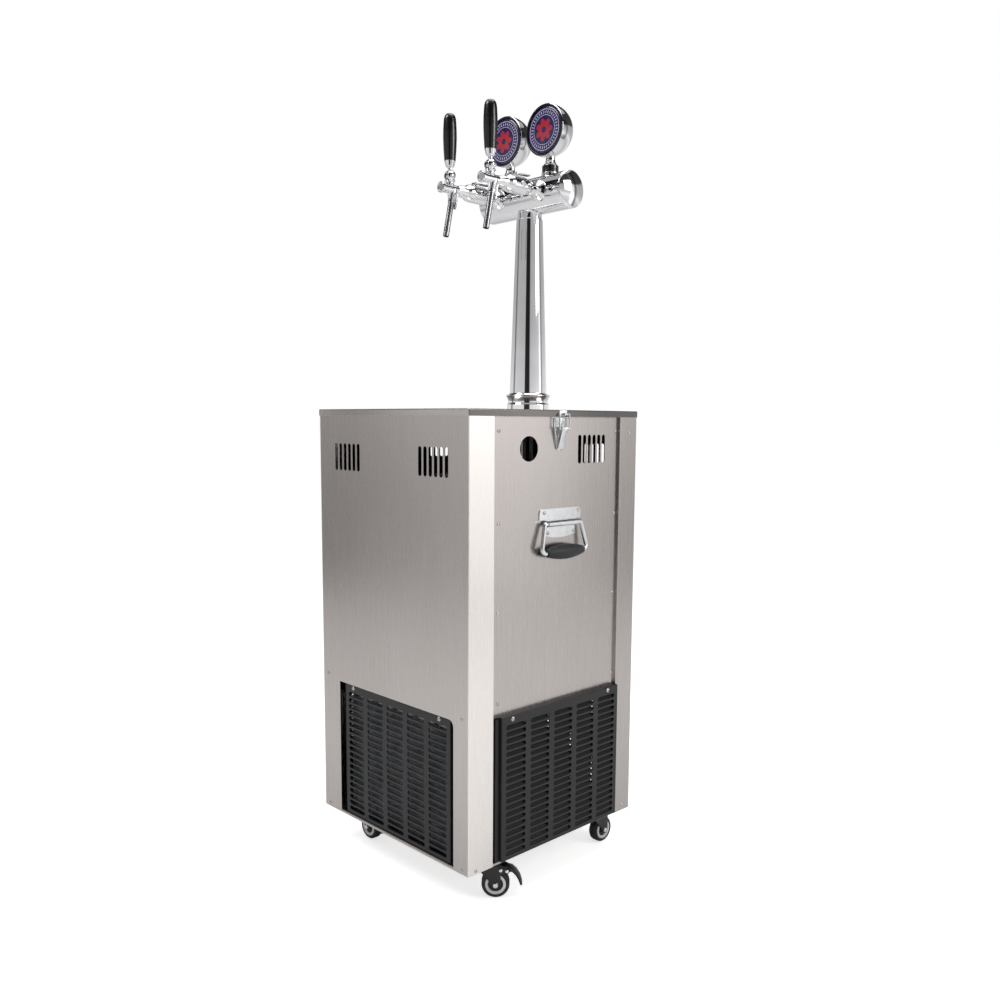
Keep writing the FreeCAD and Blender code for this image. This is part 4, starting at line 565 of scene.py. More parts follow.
def wrapPanel(node, side, reach):
    # front (side -1) or back (side 1) sheet: the holed face and two returns with inward lips
    b, w, g = cabinet, window, glandHole
    low, high, t = b["foot"], b["panelTop"], b["sheet"]
    edge, far, lip = b["half"] - b["bend"], side * b["half"], side * (b["half"] - reach)
    bend = arcPoints(w["right"] - w["corner"], w["head"] - w["corner"], w["corner"], 0, 90, 8)
    opening = np.vstack([[(w["left"], w["foot"]), (w["right"], w["foot"])], bend, [(w["left"], w["head"])]])
    holes = [opening] + ventRow(vents, -1) + ventRow(vents, 1)
    if side > 0:
        holes.append(circle(g["x"], g["z"], g["radius"], roundSteps // 2))
    outline = [(-edge, low), (edge, low), (edge, high), (-edge, high)]
    face = holedSheet(node + "_face", outline, holes, t, (0, far, 0), -side * ux, uz, steelUpright, shadeLining)
    plan = [(edge, far), (b["half"], far), (b["half"], lip), (b["sideFace"], lip), (b["sideFace"], lip + side * t),
            (b["half"] - t, lip + side * t), (b["half"] - t, far - side * t), (edge, far - side * t)]
    # the front returns take the near-white copy of the steel: painted highlight
    steel = steelReturnPaintedHighlight if side < 0 else steelUpright
    strips = [foldedStrip("%s_return_%d" % (node, sign), [(sign * x, y) for x, y in plan], b["folds"],
                          low, high, steel) for sign in (-1, 1)]
    standFor(node, face, *strips)


def sidePanel(node, sign):
    # flat sheet tucked behind the returns of the front and back sheets
    b = cabinet
    front, back = b["half"] - b["frontReturn"] + b["tuck"], b["half"] - b["backReturn"] + b["tuck"]
    left, right = sorted((-sign * front, sign * back))
    holes = ventRow(sideVents, sign)
    if sign > 0:
        holes.append(circle(port["y"], port["z"], port["radius"], roundSteps))
    outline = [(left, b["sideFoot"]), (right, b["sideFoot"]), (right, b["panelTop"]), (left, b["panelTop"])]
    origin = (sign * b["sideFace"], 0, 0)
    face = holedSheet(node + "_face", outline, holes, b["sheet"], origin, sign * uy, uz, steelUpright, shadeLining)
    standFor(node, face)


def lidPieces():
    # the rolled rim as nested squares, each (half width, level), and the flat top inside it
    k = lid
    half, top, foot, t, ease = k["half"], k["top"], k["foot"], k["sheet"], k["ease"]
    steps = [(k["inner"], top), (half - k["bend"] - 0.2, top)]
    steps += [tuple(p) for p in arcPoints(half - k["bend"], top - k["bend"], k["bend"], 90, 0, 5)]
    steps += [(half, top - k["bend"] - ease), (half, foot + 0.7), (half, foot + ease), (half - ease, foot),
              (half - t + ease, foot), (half - t, foot + ease), (half - t, top - t - 0.1),
              (half - t - 0.1, top - t), (k["inner"], top - t)]
    loops = []
    for out, level in steps:
        loop = boxLoop(-out, out, -out, out, max(k["corner"] + out - half, 0.05), 5)
        loops.append(np.column_stack([loop, np.full(len(loop), level)]))
    faces = [face[::-1] for face in ringFaces(len(loops), len(loops[0]))]
    rim = meshFrom("lid_rim", np.vstack(loops) * mm, faces, steelLid)
    facing = np.zeros(len(faces) * 3)
    rim.data.polygons.foreach_get("normal", facing)
    # the rims facing along x take the darker copy of the lid steel: painted shade
    secondMaterial(rim, steelLidPaintedShade, abs(facing[::3]) > 0.8)
    flat = boxLoop(-k["inner"], k["inner"], -k["inner"], k["inner"], 0.05, 5)
    holes = [circle(0, k["lineY"], k["lineHole"], roundSteps)]
    standFor("lid", rim, holedSheet("lid_top", flat, holes, t, (0, 0, top), ux, uy, steelLid))


def screws(name, places, radius, high):
    # pan heads with a small recess: one lathe profile, in shares of radius and height, at each place
    crown = arcPoints(0, high - radius * 1.25, radius * 1.25, 33, 78, 5)[1:]
    rim, recess = [(radius * 0.97, 0), (radius, high * 0.25)], [(radius * 0.22, high * 0.55), (0, high * 0.5)]
    profile = np.vstack([rim, crown, recess])
    return [lathe("%s_%d" % (name, index), profile, 0.15, spot, axis, screwSteel, 20, steps=2)
            for index, (spot, axis) in enumerate(places)]


def panelScrews():
    f, s, k = cabinet["half"], cabinet["sideFace"], screwSet
    spots = []
    for sign in (-1, 1):
        spots += [((sign * s, y, z), sign * ux) for y in k["sideColumns"] for z in k["sideLevels"]]
        spots += [((sign * f, y, z), sign * ux) for y, z in k["cornerSpots"]]
        for side in (-1, 1):
            spots += [((sign * k["frontColumn"], side * f, z), side * uy) for z in k["frontLevels"]]
    goWith("front_panel", *screws("panel_screw", spots, k["radius"], k["high"]))


wrapPanel("front_panel", -1, cabinet["frontReturn"])
wrapPanel("back_panel", 1, cabinet["backReturn"])
sidePanel("right_side_panel", 1)
sidePanel("left_side_panel", -1)
lidPieces()
paint(steelUpright, "base_tray")
paint(steelInner, "inner_frame", "water_tank", "fan_shroud", "agitator_impeller")
paint(foamCream, "tank_insulation")
paint(copper, "cooling_coils")
paint(enamelBlack, "agitator_motor", "compressor")
paint(boxGrey, "control_box")
paint(blackTrim, "cord_gland")
paint(louvrePlastic, "fan_rotor")
panelScrews()
print("cabinet ready")

grille = {"wide": 323.0, "high": 259.0, "deep": 13.0, "wall": 2.5, "strip": 12.0, "drop": 6.0, "slotLong": 48.0,
          "slotHigh": 7.5, "pitchX": 60.5, "pitchZ": 12.0, "columns": 5, "rows": 20, "foot": 11.5, "lip": 0.72,
          "lipSteps": ((1.15, 0.0), (1.0, 0.0), (0.35, 0.3), (0.0, 1.1), (0.0, 2.5)),
          "rimSteps": ((1.6, 0.0, 0.6), (0.5, 0.4, 1.6), (0.0, 1.5, 2.1), (0.0, 6.0, 2.1)),
          "blade": ((-4.4, 2.4), (-3.4, 2.4), (5.6, 11.2), (4.6, 12.0)), "bladePast": 1.0,
          "screwColumns": (38, 293), "screwLevel": 253, "screwSink": 0.2, "screwRadius": 4.4, "screwHigh": 2.6}
grilleSpots = {
    "front_grille": ((-157, -212.8, 75), ux, uy), "back_grille": ((157, 212.8, 75), -ux, -uy),
    "right_grille": ((222.8, -157, 75), uy, -ux), "left_grille": ((-222.8, 166, 75), -uy, ux)}
slotAngles = (90, 72, 52, 14)


def slotCell():
    # one cell of the louvre: a ring of points on the cell's edge, then the obround rim with its
    # rounded lip and the wall behind; every point is (x, z, depth)
    g = grille
    half, r = (g["slotLong"] - g["slotHigh"]) / 2, g["slotHigh"] / 2
    corner = math.degrees(math.atan2(g["pitchZ"] / 2, g["pitchX"] / 2 - half))
    quarter = np.array([*slotAngles[:3], corner, slotAngles[3]])
    angles = np.radians(np.r_[quarter, -quarter[::-1]])
    count = 2 * len(angles)
    cx = np.repeat([half, -half], len(angles))
    ca, sa = np.r_[np.cos(angles), -np.cos(angles[::-1])], np.r_[np.sin(angles), np.sin(angles[::-1])]
    toSide = (g["pitchX"] / 2 - half) / np.maximum(abs(ca), 1e-9)
    reach = np.minimum(toSide, g["pitchZ"] / 2 / np.maximum(abs(sa), 1e-9))
    rings = [np.column_stack([cx + ca * reach, sa * reach, np.zeros(count)])]
    for grow, depth in g["lipSteps"]:
        size = r + grow * g["lip"]
        rings.append(np.column_stack([cx + ca * size, sa * size, np.full(count, depth)]))
    return np.array(rings)


def louvreFace(name, corner, across, inward, bladed):
    # the moulding: a plane of slot cells, where bladed a sloping blade behind each slot, and a rim
    # that rolls over into the side walls; corner is its lower left front corner, in mm
    g = grille
    rings = slotCell()
    cells = g["columns"] * g["rows"]
    left = g["strip"] + (g["wide"] - g["strip"] - g["columns"] * g["pitchX"]) / 2
    bottom = g["foot"] - g["pitchZ"] / 2
    col, row = np.meshgrid(np.arange(g["columns"]), np.arange(g["rows"]), indexing="ij")
    shift = np.stack([left + (col + 0.5) * g["pitchX"], bottom + (row + 0.5) * g["pitchZ"], 0 * col], -1)
    shift = shift.reshape(-1, 1, 3)

    def repeated(points, quads, start):
        # the same points and quads for every cell, numbered from start
        first = start + np.arange(cells) * len(points)
        return (points + shift).reshape(-1, 3), (quads + first[:, None, None]).reshape(-1, 4).tolist()

    quads = np.array(ringFaces(len(rings), len(rings[0])))[:, ::-1]
    points, faces = repeated(rings.reshape(-1, 3), quads, 0)
    verts = [points]
    total, bladeStart, bladeEnd = len(points), len(faces), len(faces)
    if bladed:
        past = g["slotLong"] / 2 + g["bladePast"]
        blade = np.array([(x, z, depth) for x in (-past, past) for z, depth in g["blade"]])
        quads = np.array([[0, 1, 2, 3], [7, 6, 5, 4], [0, 4, 5, 1], [1, 5, 6, 2], [2, 6, 7, 3], [3, 7, 4, 0]])
        points, more = repeated(blade, quads, total)
        verts.append(points)
        faces += more
        total, bladeEnd = total + len(points), len(faces)
    right, top = left + g["columns"] * g["pitchX"], bottom + g["rows"] * g["pitchZ"]
    loops = [np.column_stack([boxLoop(left, right, bottom, top, 0, 4), np.zeros(20)])]
    for inset, depth, radius in g["rimSteps"]:
        loop = boxLoop(g["strip"] + inset, g["wide"] - inset, inset, g["high"] - inset, radius, 4)
        loops.append(np.column_stack([loop, np.full(len(loop), depth)]))
    for k in range(len(loops) - 1):
        faces += wallFaces(total + k * len(loops[0]), len(loops[0]), len(loops[0]), True)
    flat = np.vstack(verts + loops)
    world = (np.asarray(corner, float) + flat[:, :1] * across + flat[:, 1:2] * uz + flat[:, 2:] * inward) * mm
    if np.cross(across, uz) @ inward > 0:
        faces = [face[::-1] for face in faces]
    face = meshFrom(name, world, faces, louvrePlastic, smooth=False)
    order = np.arange(len(faces))
    # the blades behind the slots take the deeper black copy of the ABS: painted shade
    secondMaterial(face, bladePaintedShade, (order >= bladeStart) & (order < bladeEnd))
    return face


def grilleBox(name, corner, across, inward):
    # the box behind the face: stepped strip on the left, side walls, head and sill
    g = grille
    w, d, t, h, drop = g["wide"], g["deep"], g["wall"], g["high"], g["drop"]
    walls = {"_strip": ((0, drop, 0), (g["strip"] + 1, t, h)), "_left": ((0, drop, 0), (t, d - drop, h)),
             "_right": ((w - t, 3, 0), (t, d - 3, h)), "_head": ((0, drop, h - t), (w, d - drop, t)),
             "_sill": ((0, drop, 0), (w, d - drop, t))}
    turn = np.array([across, inward, uz])
    return [block(name + tag, corner + start @ turn, corner + start @ turn + size @ turn, louvrePlastic, 0.5)
            for tag, (start, size) in ((tag, np.array(pair, float)) for tag, pair in walls.items())]


for node, (corner, across, inward) in grilleSpots.items():
    g = grille
    name = node + "_moulding"
    face = louvreFace(name, corner, across, inward, node != "front_grille")
    standFor(node, face, *grilleBox(name, corner, across, inward))
    start = corner + g["screwSink"] * inward + g["screwLevel"] * uz
    heads = [(start + column * across, -inward) for column in g["screwColumns"]]
    goWith(node, *screws(node + "_screw", heads, g["screwRadius"], g["screwHigh"]))
print("grilles ready")

condenser = {"half": 145.0, "front": -198.0, "back": -170.0, "foot": 71.2, "top": 307.2, "fins": 116,
             "finDeep": 5.0, "bends": 4, "bendFoot": 90.0, "bendPitch": 48.0, "bendHigh": 24.0,
             "bendX": (146, 158), "bendY": -184.0, "bendFold": 11.0, "bendRadius": 3.6}
pipeRoutes = {
    "discharge_pipe": [(132, 70, 160), (170, 70, 160), (170, -184, 160), (145, -184, 160)],
    "liquid_pipe": [(-145, -184, 110), (-170, -184, 110), (-170, 0, 110), (-170, 0, 336)],
    "suction_pipe": [(70, 70, 236.2), (70, 70, 276.2), (70, 150, 276.2), (70, 150, 336)]}
pipe = {"radius": 4.0, "fold": 14.0}


def coldMachine():
    # fin pack: a zigzag line of folded fins drawn up from foot to top, in front of a plain core
    c = condenser
    zig = np.arange(2 * c["fins"] + 1)
    xs = -c["half"] + zig * c["half"] / c["fins"]
    ys = np.where(zig % 2 == 0, c["front"], c["front"] + c["finDeep"])
    n = len(zig)
    verts = np.vstack([np.column_stack([xs, ys, np.full(n, z)]) for z in (c["foot"], c["top"])]) * mm
    fins = meshFrom("condenser_fins", verts, wallFaces(0, n, n)[:-1], finMetal, smooth=False)
    low, high = (-c["half"], c["front"] + c["finDeep"], c["foot"]), (c["half"], c["back"], c["top"])
    core = block("condenser_core", low, high, finMetal, 0.5)
    folds, turns = [0, c["bendFold"], c["bendFold"], 0], []
    for k in range(c["bends"]):
        low = c["bendFoot"] + c["bendPitch"] * k
        (near, out), high = c["bendX"], low + c["bendHigh"]
        route = [(x, c["bendY"], z) for x, z in ((near, low), (out, low), (out, high), (near, high))]
        turns.append(rod("condenser_bend_%d" % k, route, folds, c["bendRadius"], copper, 14))
    standFor("condenser", fins, core, *turns)
    folds = [0, pipe["fold"], pipe["fold"], 0]
    standFor("refrigerant_pipes", *[rod(name, route, folds, pipe["radius"], copper, 16)
                                    for name, route in pipeRoutes.items()])


coldMachine()

tower = {"y": 137.0, "foot": 860.0, "barZ": 1277.0, "barRadius": 35.0, "barHalf": 107.0, "barBore": 32.5,
         "capHigh": 12.0, "capRise": 9.0, "smooth": 128}
medallion = {"x": 55.0, "y": 119.0, "z": 1392.0, "bowl": 48.0, "mouth": 46.0, "bowlDeep": 10.0, "dome": 43.4,
             "domeRise": 1.6, "domeFoot": 1.4, "print": 43.5, "stemFoot": 1312.0, "collarFoot": 1315.0}
# (r, h) profiles in mm, each with the rounding of its corners
towerForms = {
    "column": (np.vstack([[(34.5, 0), (42, 0), (42, 13), (40.5, 16)], arcPoints(66, 16, 26, 178, 144, 8)[1:],
                          [(37, 34), (26, 373.7), (25.2, 374.6), (24, 376), (24, 392), (21.5, 392), (21.5, 374),
                           (34.5, 30)]]),
               np.r_[0.3, 1.2, 1.6, 0.6, np.zeros(8), 3, 0.5, 0.3, 0.5, 0.3, 0.3, 2, 2]),
    "stem": ([(0, -8), (17, -8), (17, 3), (8, 3), (8, 16), (15, 16), (12.6, 18.5), (10.4, 22), (9.2, 26), (9, 30),
              (9, 36), (0, 36)], [0, 0.4, 1, 0.3, 0.2, 0.8, 6, 6, 6, 6, 0.3, 0]),
    "bezel": ([(43.5, -2), (46.6, -2), (47, -1.4), (47, 0), (46, 0), (46, 4), (43.5, 4)], 0.5),
    "collar": ([(8, 0), (16, 0), (16, 4.4), (15.2, 5), (16, 5.6), (16, 13), (8, 13)], 0.5)}


def towerPieces():
    w, fine = tower, tower["smooth"]
    column = lathe("tower_column_shell", *towerForms["column"], (0, w["y"], w["foot"]), uz, chrome, fine, True)
    standFor("tower_column", column)
    half, outer, bore = w["barHalf"], w["barRadius"], w["barBore"]
    tube = [(bore, -half), (outer, -half), (outer, half), (bore, half)]
    standFor("tee_bar", lathe("tee_bar_tube", tube, 0.3, (0, w["y"], w["barZ"]), ux, chrome, fine, True))
    # end cap: a plug, a short rim and a shallow dome
    sphere = domeRadius(outer, w["capRise"])
    spread = math.degrees(math.asin(outer / sphere))
    profile = np.vstack([[(0, -7), (32.4, -7), (32.4, 0.0), (34.6, 0.0), (34.95, 0.7), (34.95, 2.4)],
                         arcPoints(0, w["capHigh"] - sphere, sphere, 90 - spread + 1.5, 90, 20)])
    radii = np.r_[0, 0.3, 0.1, 0.3, 0.3, 2.2, np.zeros(21)]
    caps = [lathe("tee_cap_" + tag, profile, radii, (sign * half, w["y"], w["barZ"]), sign * ux, chrome, fine)
            for tag, sign in (("left", -1), ("right", 1))]
    standFor("tee_end_caps", *caps)


def medallionPieces(tag, sign):
    # bowl on a stem, black bezel and collar, and the domed print that looks forward
    m, fine = medallion, tower["smooth"]
    spot = (sign * m["x"], m["y"], m["z"])
    profile = np.vstack([[(m["mouth"], 0), (m["bowl"], 0)], arcPoints(0, m["bowlDeep"], m["bowl"], 0, 90, 28)])
    shell = lathe("medallion_bowl_" + tag, profile, np.r_[0, 0.8, np.zeros(29)], spot, uy, chrome, fine)
    stem = lathe("medallion_stem_" + tag, *towerForms["stem"], (spot[0], tower["y"], m["stemFoot"]), uz, chrome)
    standFor("medallion_housings", shell, stem)
    bezel = lathe("medallion_bezel_" + tag, *towerForms["bezel"], spot, uy, blackTrim, fine, True)
    collarSpot = (spot[0], tower["y"], m["collarFoot"])
    collar = lathe("medallion_collar_" + tag, *towerForms["collar"], collarSpot, uz, blackTrim, 72, True)
    standFor("medallion_trim", bezel, collar)
    sphere = domeRadius(m["dome"], m["domeRise"])
    angle = math.degrees(math.asin(m["dome"] / sphere))
    dome = arcPoints(0, m["domeFoot"] - sphere, sphere, 90 - angle, 90, 12)
    dome = np.vstack([[(0, -1.5), (m["dome"], -1.5)], dome])
    face = lathe("medallion_face_" + tag, dome, 0, spot, -uy, facePrint, 96, uv=(ux, uz, m["print"]))
    standFor("medallion_faces", face)


towerPieces()
medallionPieces("left", -1)
medallionPieces("right", 1)
print("tower ready")

tap = {"x": 56.0, "z": 1277.0, "handleY": -22.2, "pivotZ": 1300.7, "tilt": 11.6, "rootY": -14.3, "shankY": 76.0,
       "airY": 11.0, "flowY": 40.0, "flowUp": 20.0, "screwY": 47.0, "gripUp": 27.3, "bladeTilt": 4.0,
       "bladeThick": 2.2}
tapForms = {
    "barrel": ([(0, -45.2), (6.4, -45.2), (7.2, -46), (9.3, -46), (10.3, -45), (10.3, -41), (8.6, -41), (8.6, -4),
                (11, 6), (12, 15), (15.5, 22), (16.5, 28), (16.5, 60), (15, 66), (12.5, 72), (9, 72.4), (9, 76),
                (0, 76)],
               [0, 0.3, 0.3, 0.8, 0.8, 0.5, 0.6, 5, 8, 8, 4, 4, 3, 4, 1, 0.4, 0.3, 0]),
    "neck": ([(0, 0), (8, 0), (8, 12), (10.4, 14.6), (10.6, 15.2), (0, 15.2)], [0, 0, 2, 1, 0.3, 0]),
    "cheek": (np.vstack([[(0, 4.5), (10.0, 4.5)], arcPoints(0, 0, 11.3, 25, 90, 14)]), np.r_[0, 0.4, np.zeros(15)]),
    "pin": ([(0, -11.6), (2, -11.6), (2, 11.6), (0, 11.6)], 0.4),
    "boss": ([(0, 0), (9, 0), (8.4, 8), (6.9, 20), (6.6, 25), (5.8, 25), (5.8, 18), (0, 18)],
             [0, 0.4, 4, 4, 0.4, 0.2, 0, 0]),
    "flowPin": ([(0, -5.3), (1.5, -5.3), (1.5, 5.3), (0, 5.3)], 0.3),
    "sideScrew": ([(0, 14), (5.5, 14), (5.5, 17.6), (4.6, 18.4), (0, 18.4)], [0, 0.2, 0.8, 0.8, 0]),
    "spout": ([(4.75, 18), (5.75, 18), (5.75, 90.8), (4.75, 90.8)], 0.3),
    "shank": ([(3, 0), (11.5, 0), (12.5, 1), (12.5, 9), (11.5, 10), (10.6, 11), (11.4, 15), (14.4, 20), (18.6, 24),
               (20, 25.2), (20, 34), (3, 34)], [0, 0.5, 0.8, 0.8, 0.5, 1, 6, 8, 4, 0.8, 0, 0]),
    "tongue": ([(2.2, -4.3), (8, -4.3), (8, 4.3), (2.2, 4.3)], 0.4),
    "leverNeck": ([(0, 2.8), (4.2, 2.8), (4.2, 14), (5, 15.6), (7.5, 16.3), (8.3, 18), (10.4, 26), (10.8, 27.3),
                   (0, 27.3)], [0, 0, 1.5, 0.8, 0.6, 1, 2, 0.3, 0]),
    "grip": ([(0, 0), (10.8, 0), (11.4, 8), (12.3, 22), (13, 40), (12.9, 54), (12.2, 68), (11.4, 77), (9.8, 82),
              (6.4, 85.8), (0, 87)], [0, 0.5, 20, 30, 40, 40, 30, 14, 8, 6, 0]),
    "hub": ([(1.7, -5), (3, -5), (3, 5), (1.7, 5)], 0.3)}
webLine = [(-14, -3), (4, -3), (2, -15), (-6.5, -26), (-10.5, -25.5)]
lugLine = [(36, 12), (44, 12), (44, 19), (42, 21), (38, 21), (36, 19)]
bladeLine = [(-5, 2), (5, 2), (5.2, 26), (5.8, 38), (-5.8, 38), (-5.2, 26)]
lean = math.radians(tap["tilt"])
down = np.array([0, -math.sin(lean), -math.cos(lean)])
beerLine = {"startY": 118.0, "inX": 10.0, "foot": 617.5, "radius": 4.0, "fold": 12.0}


def tapBody(tag, x):
    # barrel along y, neck with a clevis for the lever, leaning boss with its air stub, and the
    # lug that carries the flow lever
    t = tap
    pivot, root = (x, t["handleY"], t["pivotZ"]), np.array([x, t["rootY"], t["z"]])
    flow = (x, t["flowY"], t["z"] + t["flowUp"])
    pieces = [lathe("tap_barrel_" + tag, *tapForms["barrel"], (x, 0, t["z"]), uy, chrome),
              lathe("tap_neck_" + tag, *tapForms["neck"], (x, t["handleY"], t["z"]), uz, chrome, 56)]
    pieces += [lathe("tap_cheek_%s_%d" % (tag, side), *tapForms["cheek"], pivot, side * ux, chrome, 56)
               for side in (-1, 1)]
    pieces += [lathe("tap_pin_" + tag, *tapForms["pin"], pivot, ux, tubeSteel, 24),
               lathe("tap_boss_" + tag, *tapForms["boss"], root, down, chrome, 56),
               plate("tap_web_" + tag, webLine, 3.0, (x - 1.5, t["rootY"], t["z"]), uy, uz, chrome, 1.6, 0.5)]
    air = root + t["airY"] * uy
    pieces += [rod("tap_air_stub_" + tag, [air + down * 2, air + down * 34], 0, 3, chrome, 20),
               rod("tap_air_tip_" + tag, [air + down * 33, air + down * 36], 0, 2.4, tubeSteel, 20, 0.3),
               plate("tap_flow_lug_" + tag, lugLine, 4, (x - 2, 0, t["z"]), uy, uz, chrome, 1, 0.3),
               lathe("tap_flow_pin_" + tag, *tapForms["flowPin"], flow, ux, tubeSteel, 16)]
    screwSpot = (x, t["screwY"], t["z"])
    pieces += [lathe("tap_side_screw_%s_%d" % (tag, side), *tapForms["sideScrew"], screwSpot, side * ux, chrome, 40)
               for side in (-1, 1)]
    standFor("tap_bodies", *pieces)
    standFor("tap_spouts", lathe("tap_spout_tube_" + tag, *tapForms["spout"], root, down, tubeSteel, 48, True))
    shankSpot = (x, t["shankY"], t["z"])
    standFor("tap_shanks", lathe("tap_shank_" + tag, *tapForms["shank"], shankSpot, uy, chrome, 72, True))


def tapLevers(tag, x):
    # pulling lever with its tongue in the clevis and its grip, and the small flow lever
    t = tap
    pivot, flow = (x, t["handleY"], t["pivotZ"]), np.array([x, t["flowY"], t["z"] + t["flowUp"]])
    tongue = lathe("tap_tongue_" + tag, *tapForms["tongue"], pivot, ux, chrome, 48, True)
    neck = lathe("tap_lever_neck_" + tag, *tapForms["leverNeck"], pivot, uz, chrome, 56)
    standFor(tag + "_tap_lever", tongue, neck)
    gripSpot = (x, t["handleY"], t["pivotZ"] + t["gripUp"])
    grip = lathe("tap_grip_" + tag, *tapForms["grip"], gripSpot, uz, gripPlastic, 64, steps=8)
    standFor(tag + "_tap_grip", grip)
    hub = lathe("flow_hub_" + tag, *tapForms["hub"], flow, ux, chrome, 32, True)
    tilt = math.radians(t["bladeTilt"])
    along = np.array([0, math.cos(tilt), math.sin(tilt)])
    origin = flow - np.cross(ux, along) * t["bladeThick"] / 2
    rounding = [1, 1, 8, 3, 3, 8]
    blade = plate("flow_blade_" + tag, bladeLine, t["bladeThick"], origin, ux, along, chrome, rounding, 0.6)
    standFor(tag + "_flow_lever", hub, blade)


def beerHose(tag, sign):
    # from the shank into the column and down to the coils
    k, x, y, z = beerLine, sign * tap["x"], tower["y"], tower["barZ"]
    inner = sign * k["inX"]
    route = [(x, k["startY"], z), (x, y, z), (inner, y, z), (inner, y, k["foot"])]
    standFor("beer_lines", rod("beer_line_" + tag, route, [0, k["fold"], k["fold"], 0], k["radius"], milkHose, 16))


for tag, sign in (("left", -1), ("right", 1)):
    tapBody(tag, sign * tap["x"])
    tapLevers(tag, sign * tap["x"])
    beerHose(tag, sign)
print("taps ready")

handle = {"halfTop": 54.0, "top": 686.0, "step": 666.0, "corner": 8.0, "halfLow": 40.0, "foot": 638.5, "belly": 5.0,
          "thick": 1.5, "wall": 209.8, "hingeZ": 660.0, "hingeOut": 8.0, "knuckle": 5.6, "bore": 4.05, "centre": 8.0,
          "web": (211.2, 217.4, 660.4, 665.4), "screws": ((-34, 679), (55, 680), (-24, 643), (44, 643)),
          "screwX": 211.3, "screwRadius": 3.4, "screwHigh": 1.8}
# bail: (distance from its middle, share of the way down) from the knuckle to the grip
bail = {"line": ((30, 0.0), (47, 0.0), (58, 44 / 51), (53, 1.0)), "bends": (0, 5, 5, 6, 6, 5, 5, 0), "radius": 4.0,
        "topX": 217.8, "swingOut": 5.8, "drop": 51.0}
chestGrip = {"half": 47.0, "rise": 7.0, "fat": 13.5, "bore": 4.0, "x": 223.6, "z": 609.0}
latch = {"y": 5.0, "pivot": (221.8, 827.0), "hook": (220.9, 853.5), "near": 7.4, "far": 12.6, "bend": 2.0,
         "wire": 1.5, "screwZ": 793.0, "screwRadius": 2.6, "screwHigh": 1.3}


def handlePlate(tag, sign):
    # pressing: a wide head over a narrower apron whose foot bellies down, with the knuckle rolled
    # on its face
    h = handle
    sweep = np.linspace(-1, 1, 13)
    belly = np.column_stack([h["halfLow"] * sweep, h["foot"] - h["belly"] * (1 - sweep ** 2)])
    head = [(h["halfLow"], h["step"]), (h["halfTop"], h["step"]), (h["halfTop"], h["top"])]
    edge = np.vstack([belly, head, [(-x, z) for x, z in reversed(head)]])
    line = rounded(edge, np.r_[np.zeros(13), 0, 1.5, h["corner"], h["corner"], 1.5, 0], 6, True)
    origin = (sign * (h["wall"] + h["thick"]), h["centre"], 0)
    pressing = holedSheet("handle_pressing_" + tag, line * [sign, 1], [], h["thick"], origin, sign * uy, uz, zinc)
    long, bore, outer = h["halfLow"], h["bore"], h["knuckle"]
    hinge = (sign * (h["wall"] + h["hingeOut"]), h["centre"], h["hingeZ"])
    knuckle = lathe("handle_knuckle_" + tag, [(bore, -long), (outer, -long), (outer, long), (bore, long)], 0.4, hinge,
                    uy, zinc, 48, True)
    inner, outer, low, high = h["web"]
    web = block("handle_web_" + tag, (sign * inner, h["centre"] - long, low), (sign * outer, h["centre"] + long, high),
                zinc, 0.3)
    standFor("handle_plates", pressing, knuckle, web)


def handleBail(tag, sign):
    # round bar in its own plane: from inside the knuckle, out, down with a splay, and round to the grip
    b, middle, top = bail, handle["centre"], handle["hingeZ"]
    half = [(sign * (b["topX"] + b["swingOut"] * share), middle + y, top - b["drop"] * share)
            for y, share in b["line"]]
    points = half + [(x, 2 * middle - y, z) for x, y, z in reversed(half)]
    standFor(tag + "_handle_bail", rod("chest_bail_" + tag, points, b["bends"], b["radius"], zinc, 28))


def handleGrip(tag, sign):
    # barrel-shaped rubber sleeve, fattest at its middle
    g = chestGrip
    sphere = domeRadius(g["half"], g["rise"])
    swing = math.degrees(math.asin(g["half"] / sphere))
    profile = np.vstack([[(g["bore"], -g["half"])], arcPoints(g["fat"] - sphere, 0, sphere, -swing, swing, 24),
                         [(g["bore"], g["half"])]])
    radii = np.r_[0, 1.2, np.zeros(23), 1.2, 0]
    spot = (sign * g["x"], handle["centre"], g["z"])
    standFor(tag + "_handle_grip", lathe("chest_grip_" + tag, profile, radii, spot, uy, rubber, 56, True))


def latchBail(tag, sign):
    # wire loop from the lever's ears up to the keeper
    k = latch
    (x, z), (hookX, hookZ) = k["pivot"], k["hook"]
    near, far = k["y"] + k["near"], k["y"] + k["far"]
    half = [(sign * x, near, z), (sign * x, far, z), (sign * hookX, far, hookZ)]
    points = half + [(a, 2 * k["y"] - b, c) for a, b, c in reversed(half)]
    bends = [0] + [k["bend"]] * 4 + [0]
    standFor(tag + "_latch_bail", rod("latch_wire_" + tag, points, bends, k["wire"], zinc, 18))


softened("latch_plates", zinc, 0.2)
for tag, sign in (("left", -1), ("right", 1)):
    h, k = handle, latch
    handleBail(tag, sign)
    handlePlate(tag, sign)
    handleGrip(tag, sign)
    heads = [((sign * h["screwX"], y, z), sign * ux) for y, z in h["screws"]]
    goWith("handle_plates", *screws("handle_screw_" + tag, heads, h["screwRadius"], h["screwHigh"]))
    softened(tag + "_latch_lever", zinc, 0.25)
    latchBail(tag, sign)
    heads = [((sign * h["screwX"], k["y"], k["screwZ"]), sign * ux)]
    goWith("latch_plates", *screws("latch_screw_" + tag, heads, k["screwRadius"], k["screwHigh"]))
print("handles ready")

